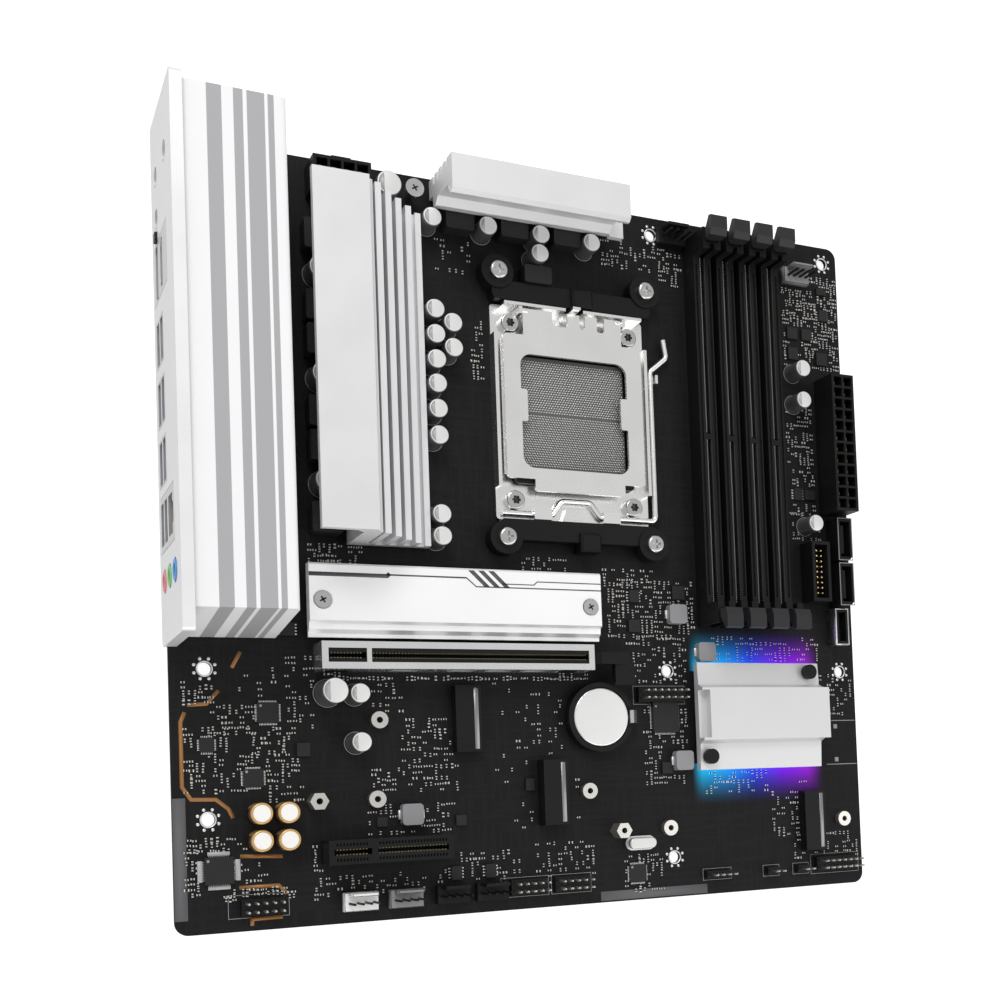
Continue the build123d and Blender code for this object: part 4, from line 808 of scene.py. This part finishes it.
class BOARD_OT_heatsinks(bpy.types.Operator):
    """Bead-blasted heatsinks and the lines cut into the drive heatsink"""
    bl_idname = "board.heatsinks"
    bl_label = "Heatsinks"

    def execute(self, context):
        for name, share in (("vrm_heatsink_left", 0.9), ("vrm_heatsink_top", 0.93), ("m2_armor", 1.2),
                            ("chipset_heatsink", 0.82)):
            blasted = finish(f"blasted_{name}", [c * share for c in colours().silver], 0.42, metallic=0.4,
                             grain=2200.0, depth=1.0, bump=0.45, shade=0.05)
            dress([name], blasted)
        dress(["thermal_pads"], finish("soft_pad", (0.2, 0.21, 0.23), 0.8, grain=1200.0, bump=0.3))
        dress(["push_pins"], black_plastic())
        low, high = node_span("m2_armor")
        top = high[2]
        x0, y0 = low[0], low[1]
        lines = [ribbon([(x0, y0 + 3.6), (x0 + 24.2, y0 + 3.6), (x0 + 25.0, y0 + 2.8)], 1.3, top, top + 0.03),
                 ribbon([(x0 + 24.0, y0 + 3.2), (x0 + 50.0, y0 + 3.2)], 0.5, top, top + 0.03),
                 ribbon([(x0 + 50.0, y0 + 3.2), (x0 + 53.2, y0 + 6.0), (high[0], y0 + 6.0)],
                        0.4, top, top + 0.03),
                 ribbon([(x0 + 62.0, y0 + 4.8), (x0 + 73.0, y0 + 4.8), (x0 + 74.2, y0 + 3.7),
                         (high[0], y0 + 3.7)], 0.35, top, top + 0.03)]
        for step in range(3):
            x = x0 + 50.6 + 3.4 * step
            lines.append(plate([(x, y0 + 0.7), (x + 1.9, y0 + 0.7), (x + 7.3, y0 + 6.0), (x + 5.4, y0 + 6.0)],
                               top, top + 0.03))
        cut = finish("cut_line", (0.09, 0.09, 0.095), 0.45, metallic=0.3, grain=2500.0)
        put("armor_lines", joined(lines), cut)
        return {"FINISHED"}


class BOARD_OT_socket(bpy.types.Operator):
    """Processor socket: plated frame and plate, brackets, screws and the field of contacts"""
    bl_idname = "board.socket"
    bl_label = "Processor socket"

    def execute(self, context):
        dress(["socket_frame", "load_plate", "socket_lever"],
              finish("nickel_plate", (0.95, 0.945, 0.93), 0.27, metallic=1.0, grain=1400.0, bump=0.03,
                     shade=0.03))
        dress(["cpu_backplate", "battery_clip"], bright_steel())
        dress(["socket_screws", "cooler_screws", "heatsink_screws"],
              finish("screw_steel", (0.62, 0.62, 0.61), 0.22, metallic=1.0, grain=1500.0, shade=0.08))
        dress(["socket_body", "cooler_bracket_top", "cooler_bracket_bottom"], black_plastic())
        dress(["socket_contacts"], finish("contact_carrier", (0.09, 0.09, 0.092), 0.5, grain=2500.0))
        # Dark star and cross plates on the screw heads stand for the drive recesses: painted shade.
        stars, crosses = [], []
        for (x, y), top, _ in round_tops("socket_screws"):
            points = [(x + r * np.cos(a), y + r * np.sin(a))
                      for a, r in zip(np.radians(np.arange(12) * 30 + 15), (1.5, 0.95) * 6)]
            stars.append(plate(points, top, top + 0.03))
        for place, top, _ in round_tops("heatsink_screws"):
            crosses += [blocks([place], [(2.2, 0.55)], top, top + 0.03, turn=angle) for angle in (30, 120)]
        # Dark steel tone for the recess plates: painted shade.
        recess_shade = finish("painted_recess_shade", (0.03, 0.03, 0.03), 0.4, metallic=0.4, grain=3000.0)
        put("screw_stars", joined(stars), recess_shade)
        put("screw_crosses", joined(crosses), recess_shade)
        low, high = node_span("socket_contacts")
        centre = ((low[0] + high[0]) / 2, (low[1] + high[1]) / 2)
        halves = []
        for way, lean in ((-1, 28), (1, -28)):
            places = grid((centre[0], centre[1] + way * 9.3), (0.94, 0.81), (40, 22))
            places[:, 0] += 0.47 * (np.round((places[:, 1] - centre[1]) / 0.81) % 2)
            halves.append(blocks(places, (0.62, 0.3), high[2], high[2] + 0.22, 0.06, turn=lean))
        tips = finish("contact_tips", (0.7, 0.69, 0.66), 0.35, metallic=0.7, grain=4000.0, shade=0.15)
        put("contact_field", joined(halves), tips)
        return {"FINISHED"}


class BOARD_OT_memory(bpy.types.Operator):
    """Memory slots with their rows of contacts and the latches"""
    bl_idname = "board.memory"
    bl_label = "Memory slots"

    def execute(self, context):
        slots = [f"dimm_slot_{number}" for number in range(1, 5)]
        latches = [f"dimm_latch_{end}_{number}" for end in ("top", "bottom") for number in range(1, 5)]
        dress(slots, black_plastic())
        dress(latches, finish("latch_grey", (0.022, 0.022, 0.024), 0.4, specular=0.3, grain=2200.0, bump=0.15))
        pitch = sizes().contact_pitch
        left, right, ribs = [], [], []
        for name in slots:
            low, high = node_span(name)
            x = (low[0] + high[0]) / 2
            key = 80.1
            ys = np.arange(low[1] + 8.4, high[1] - 8.2, pitch)
            ys = ys[np.abs(ys - key) > 1.6]
            for rows, side in ((left, -1), (right, 1)):
                places = np.column_stack([np.full(len(ys), x + side * 0.86), ys])
                rows.append(blocks(places, (0.34, 0.36), 5.6, 8.5, 0.1))
            places = np.column_stack([np.full(len(ys), x), ys])
            for side in (-1, 1):
                ribs.append(blocks(places + (side * 2.5, pitch / 2), (0.9, 0.3), 7.8, 8.38))
        # One contact finish in two tones: the left row is a lighter copy for painted light, the right row a
        # darker copy for painted shade.
        put("memory_contacts_left", joined(left), finish("contact_painted_light", (0.42, 0.41, 0.38), 0.45, metallic=0.5,
                                                         grain=4000.0))
        shaded_side = finish("shaded_contact", (0.1, 0.095, 0.085), 0.4, metallic=0.7, grain=4000.0)
        put("memory_contacts_right", joined(right), shaded_side)
        put("memory_ribs", joined(ribs), black_plastic())
        return {"FINISHED"}


class BOARD_OT_expansion(bpy.types.Operator):
    """Expansion slots, the steel shell of the long one and their contacts"""
    bl_idname = "board.expansion"
    bl_label = "Expansion slots"

    def execute(self, context):
        dress(["pcie_x16_slot", "pcie_x4_slot", "pcie_x16_latch"], black_plastic())
        dress(["pcie_x16_shell"], finish("bright_shell", (0.82, 0.82, 0.82), 0.22, metallic=0.9, grain=1500.0,
                                         shade=0.05))
        rows, holes = [], []
        for name in ("pcie_x16_slot", "pcie_x4_slot"):
            low, high = node_span(name)
            y = (low[1] + high[1]) / 2
            xs = np.arange(low[0] + 2.6, high[0] - 2.2, 1.0)
            xs = xs[np.abs(xs - low[0] - 14.0) > 1.5]
            for side in (-1, 1):
                places = np.column_stack([xs, np.full(len(xs), y + side * 0.85)])
                rows.append(blocks(places, (0.4, 0.5), 6.0, 10.6, 0.1))
                # Flat patches over the openings in the short slot's top, near black for painted shade inside the
                # openings.
                if name == "pcie_x4_slot":
                    holes.append(blocks(places + (0, side * 1.5), (0.5, 0.9), high[2], high[2] + 0.02))
        # The card contacts take a darker copy of the gold: painted shade inside the slots.
        shaded_gold = finish("gold_painted_shade", (0.35, 0.29, 0.18), 0.35, metallic=0.8, grain=4000.0)
        put("card_contacts", joined(rows), shaded_gold)
        # Near-black patches: painted shade in the slot's openings.
        put("slot_opening_shades", joined(holes), finish("painted_opening_shade", (0.002, 0.002, 0.002), 0.8, specular=0.05))
        return {"FINISHED"}


class BOARD_OT_drives(bpy.types.Operator):
    """Drive and radio card sockets, their inserts and strips"""
    bl_idname = "board.drives"
    bl_label = "Drive sockets"

    def execute(self, context):
        dress(["m2_sockets"], black_plastic())
        dress(["m2_standoffs"], finish("tinned_brass", (0.72, 0.7, 0.66), 0.28, metallic=0.9, grain=2500.0))
        strips, fins = [], []
        for x, y, h in ((90.6, 180.1, 4.2), (221.6, 219.4, 4.2), (119.4, 205.3, 6.0)):
            strips.append(blocks([(x + 2.6, y)], [(1.5, 20.0)], h, h + 0.12, 0.05))
            places = grid((x - 2.4, y), (1, 0.5), (1, 38))
            fins.append(blocks(places[np.abs(places[:, 1] - y - 5.2) > 1.2], (2.6, 0.24), h - 1.5, h - 0.9))
        steel = finish("strip_steel", (0.3, 0.3, 0.31), 0.35, metallic=0.9, grain=1500.0)
        put("drive_strips", joined(strips), steel)
        put("drive_contacts", joined(fins), gold())
        return {"FINISHED"}


class BOARD_OT_connectors(bpy.types.Operator):
    """Power, drive, header and battery pieces"""
    bl_idname = "board.connectors"
    bl_label = "Connectors and battery"

    def execute(self, context):
        dress(["atx_connector", "eps_connector", "battery_holder", "sata_ports", "usb_headers", "pin_headers",
               "fan_light_headers"], black_plastic())
        dress(["power_pins"], gold())
        cell = finish("cell_steel", (0.86, 0.86, 0.85), 0.3, metallic=0.8, grain=1800.0, bump=0.06, shade=0.03)
        dress(["battery_cell"], cell)
        tips = []
        for x, y, across, down in ((25.0, 236.6, 5, 2), (110.1, 236.4, 5, 2), (125.6, 236.4, 5, 2),
                                   (161.4, 172.4, 7, 2), (181.6, 236.8, 4, 1), (204.0, 237.0, 2, 1),
                                   (216.6, 237.0, 2, 1), (231.4, 235.8, 7, 2)):
            tips.append(blocks(grid((x, y), (2.54, 2.54), (across, down)), (0.68, 0.68), 2.5, 8.66, 0.15))
        put("header_pins", joined(tips), finish("pin_tin", (0.62, 0.6, 0.55), 0.3, metallic=0.9, grain=4000.0))
        white = finish("white_header", (0.8, 0.8, 0.79), 0.4, grain=2400.0, shade=0.04)
        grey = finish("grey_header", (0.22, 0.22, 0.225), 0.45, grain=2400.0, shade=0.06)
        for name, x, y, material in (("light_header_white", 54.4, 237.2, white),
                                     ("light_header_grey", 68.8, 237.2, grey),
                                     ("fan_header_pale", 224.2, 13.6, grey)):
            sleeve = joined([blocks([(x, y)], [(10.7, 5.9)], 0.1, 3.26, 0.25),
                             blocks([(x, y - 2.4)], [(8.1, 1.1)], 3.2, 8.86, 0.25)])
            put(name, sleeve, material)
        inner = grid((226.2, 127.0), (2.0, 2.0), (2, 9))
        put("usb_header_pins", blocks(inner, (0.6, 0.6), 2.3, 7.2, 0.12), gold())
        frame_wall = ribbon([(233.3, 140.5), (238.7, 140.5), (238.7, 153.9), (233.3, 153.9)],
                            0.4, 0.0, 5.9, closed=True)
        put("front_port_frame", frame_wall, bright_steel())
        rims = [ribbon([(234.2, y - 7.9), (240.2, y - 7.9), (240.2, y + 7.9), (234.2, y + 7.9)],
                       0.35, 8.6, 8.64, closed=True) for y in (114.4, 131.4)]
        put("sata_rims", joined(rims), grey)
        return {"FINISHED"}


class BOARD_OT_printing(bpy.types.Operator):
    """Plain printed outlines round components and slots"""
    bl_idname = "board.printing"
    bl_label = "Printing"

    def execute(self, context):
        lines = []
        for x0, y0, x1, y1 in ((15.2, 232.8, 33.0, 239.8), (100.9, 233.2, 117.6, 239.6),
                               (118.6, 233.2, 133.0, 239.6), (151.4, 169.2, 171.4, 175.6),
                               (221.0, 232.2, 242.0, 239.4), (176.0, 234.8, 187.4, 238.8),
                               (200.6, 235.0, 207.4, 239.0), (213.2, 235.0, 220.0, 239.0)):
            lines.append(ribbon([(x0, y0), (x1, y0), (x1, y1), (x0, y1)], 0.16, 0.0, 0.03, closed=True))
        lines.append(ribbon([(230.0, 182.3), (243.4, 182.3)], 0.3, 0.0, 0.03))
        lines.append(ribbon([(230.0, 198.8), (243.4, 198.8)], 0.3, 0.0, 0.03))
        lines.append(blocks([(234.5, 184.5), (234.5, 197.0)], (1.6, 1.6), 0.0, 0.04))
        put("printed_lines", joined(lines), ink())
        return {"FINISHED"}


class BOARD_OT_stage(bpy.types.Operator):
    """Pale floor, soft lights and the camera"""
    bl_idname = "board.stage"
    bl_label = "Stage"

    def execute(self, context):
        floor_z = CAD_BOX[0].z - 0.0002
        side = 4.0
        mesh = bpy.data.meshes.new("floor")
        mesh.from_pydata([(-side, -side, floor_z), (side, -side, floor_z), (side, side, floor_z),
                          (-side, side, floor_z)], [], [(0, 1, 2, 3)])
        floor = bpy.data.objects.new("floor", mesh)
        bpy.context.scene.collection.objects.link(floor)
        pale = finish("floor_white", (0.3, 0.3, 0.3), 0.8, specular=0.05, grain=20.0, shade=0.01, bump=0.0)
        _, tree, shader, _, _ = SETTLED["floor_white"]
        shader.inputs["Emission Color"].default_value = (1, 1, 1, 1)
        seen = tree.nodes.new("ShaderNodeLightPath").outputs["Is Camera Ray"]
        lit = math_node(tree, "ADD", math_node(tree, "MULTIPLY", seen, 0.5), 0.45)
        tree.links.new(lit, shader.inputs["Emission Strength"])
        mesh.materials.append(pale)
        world = bpy.data.worlds.new("studio")
        world.use_nodes = True
        world.node_tree.nodes["Background"].inputs["Color"].default_value = (1, 1, 1, 1)
        world.node_tree.nodes["Background"].inputs["Strength"].default_value = 0.6
        context.scene.world = world
        middle = Vector((CAD_BOX[0] + CAD_BOX[1]) / 2)
        for name, offset, power, size in (("key", (-0.5, 1.1, 1.2), 13.0, 0.7),
                                          ("fill", (0.9, -0.6, 1.1), 5.0, 1.2),
                                          ("front", (-0.2, -1.3, 0.35), 5.0, 0.9)):
            light = bpy.data.lights.new(name, "AREA")
            light.energy, light.size = power, size
            lamp = bpy.data.objects.new(name, light)
            lamp.location = middle + Vector(offset)
            lamp.rotation_mode = "QUATERNION"
            lamp.rotation_quaternion = Vector([-value for value in offset]).to_track_quat("-Z", "Y")
            bpy.context.scene.collection.objects.link(lamp)
        data = bpy.data.cameras.new("camera")
        data.sensor_width = 36.0
        data.lens = sizes().lens
        data.shift_x, data.shift_y = sizes().shift
        data.clip_start, data.clip_end = 0.01, 20.0
        camera = bpy.data.objects.new("camera", data)
        right, up = Vector((0.869478, -0.042312, 0.492155)), Vector((0.016310, 0.998241, 0.057007))
        ahead = Vector((0.493702, 0.041539, -0.868639))
        turn = Matrix((right, up, -ahead)).transposed().to_4x4()
        camera.matrix_world = Matrix.Translation(in_frame([(-56.35, -208.2, 460.07)])[0]) @ turn
        bpy.context.scene.collection.objects.link(camera)
        context.scene.camera = camera
        context.scene.view_settings.view_transform = "Standard"
        return {"FINISHED"}


class BOARD_PT_panel(bpy.types.Panel):
    """Sizes, colours and pieces of the board"""
    bl_idname = "BOARD_PT_panel"
    bl_label = "Motherboard"
    bl_space_type = "VIEW_3D"
    bl_region_type = "UI"
    bl_category = "Board"

    def draw(self, context):
        for group in (context.scene.board_colours, context.scene.board_sizes):
            for name in group.__annotations__:
                self.layout.prop(group, name)
        for operator in OPERATORS:
            self.layout.operator(operator.bl_idname)


OPERATORS = (BOARD_OT_base, BOARD_OT_guard, BOARD_OT_small_parts, BOARD_OT_chips, BOARD_OT_capacitors,
             BOARD_OT_cover, BOARD_OT_ports, BOARD_OT_heatsinks, BOARD_OT_socket, BOARD_OT_memory,
             BOARD_OT_expansion, BOARD_OT_drives, BOARD_OT_connectors, BOARD_OT_printing, BOARD_OT_stage)
CLASSES = (BoardColours, BoardSizes, *OPERATORS, BOARD_PT_panel)


def register():
    for made in CLASSES:
        bpy.utils.register_class(made)
    bpy.types.Scene.board_colours = PointerProperty(type=BoardColours)
    bpy.types.Scene.board_sizes = PointerProperty(type=BoardSizes)


def unregister():
    del bpy.types.Scene.board_sizes
    del bpy.types.Scene.board_colours
    for made in reversed(CLASSES):
        bpy.utils.unregister_class(made)


def main():
    register()
    for operator in OPERATORS:
        group, name = operator.bl_idname.split(".")
        getattr(getattr(bpy.ops, group), name)()


if __name__ == "__main__":
    main()
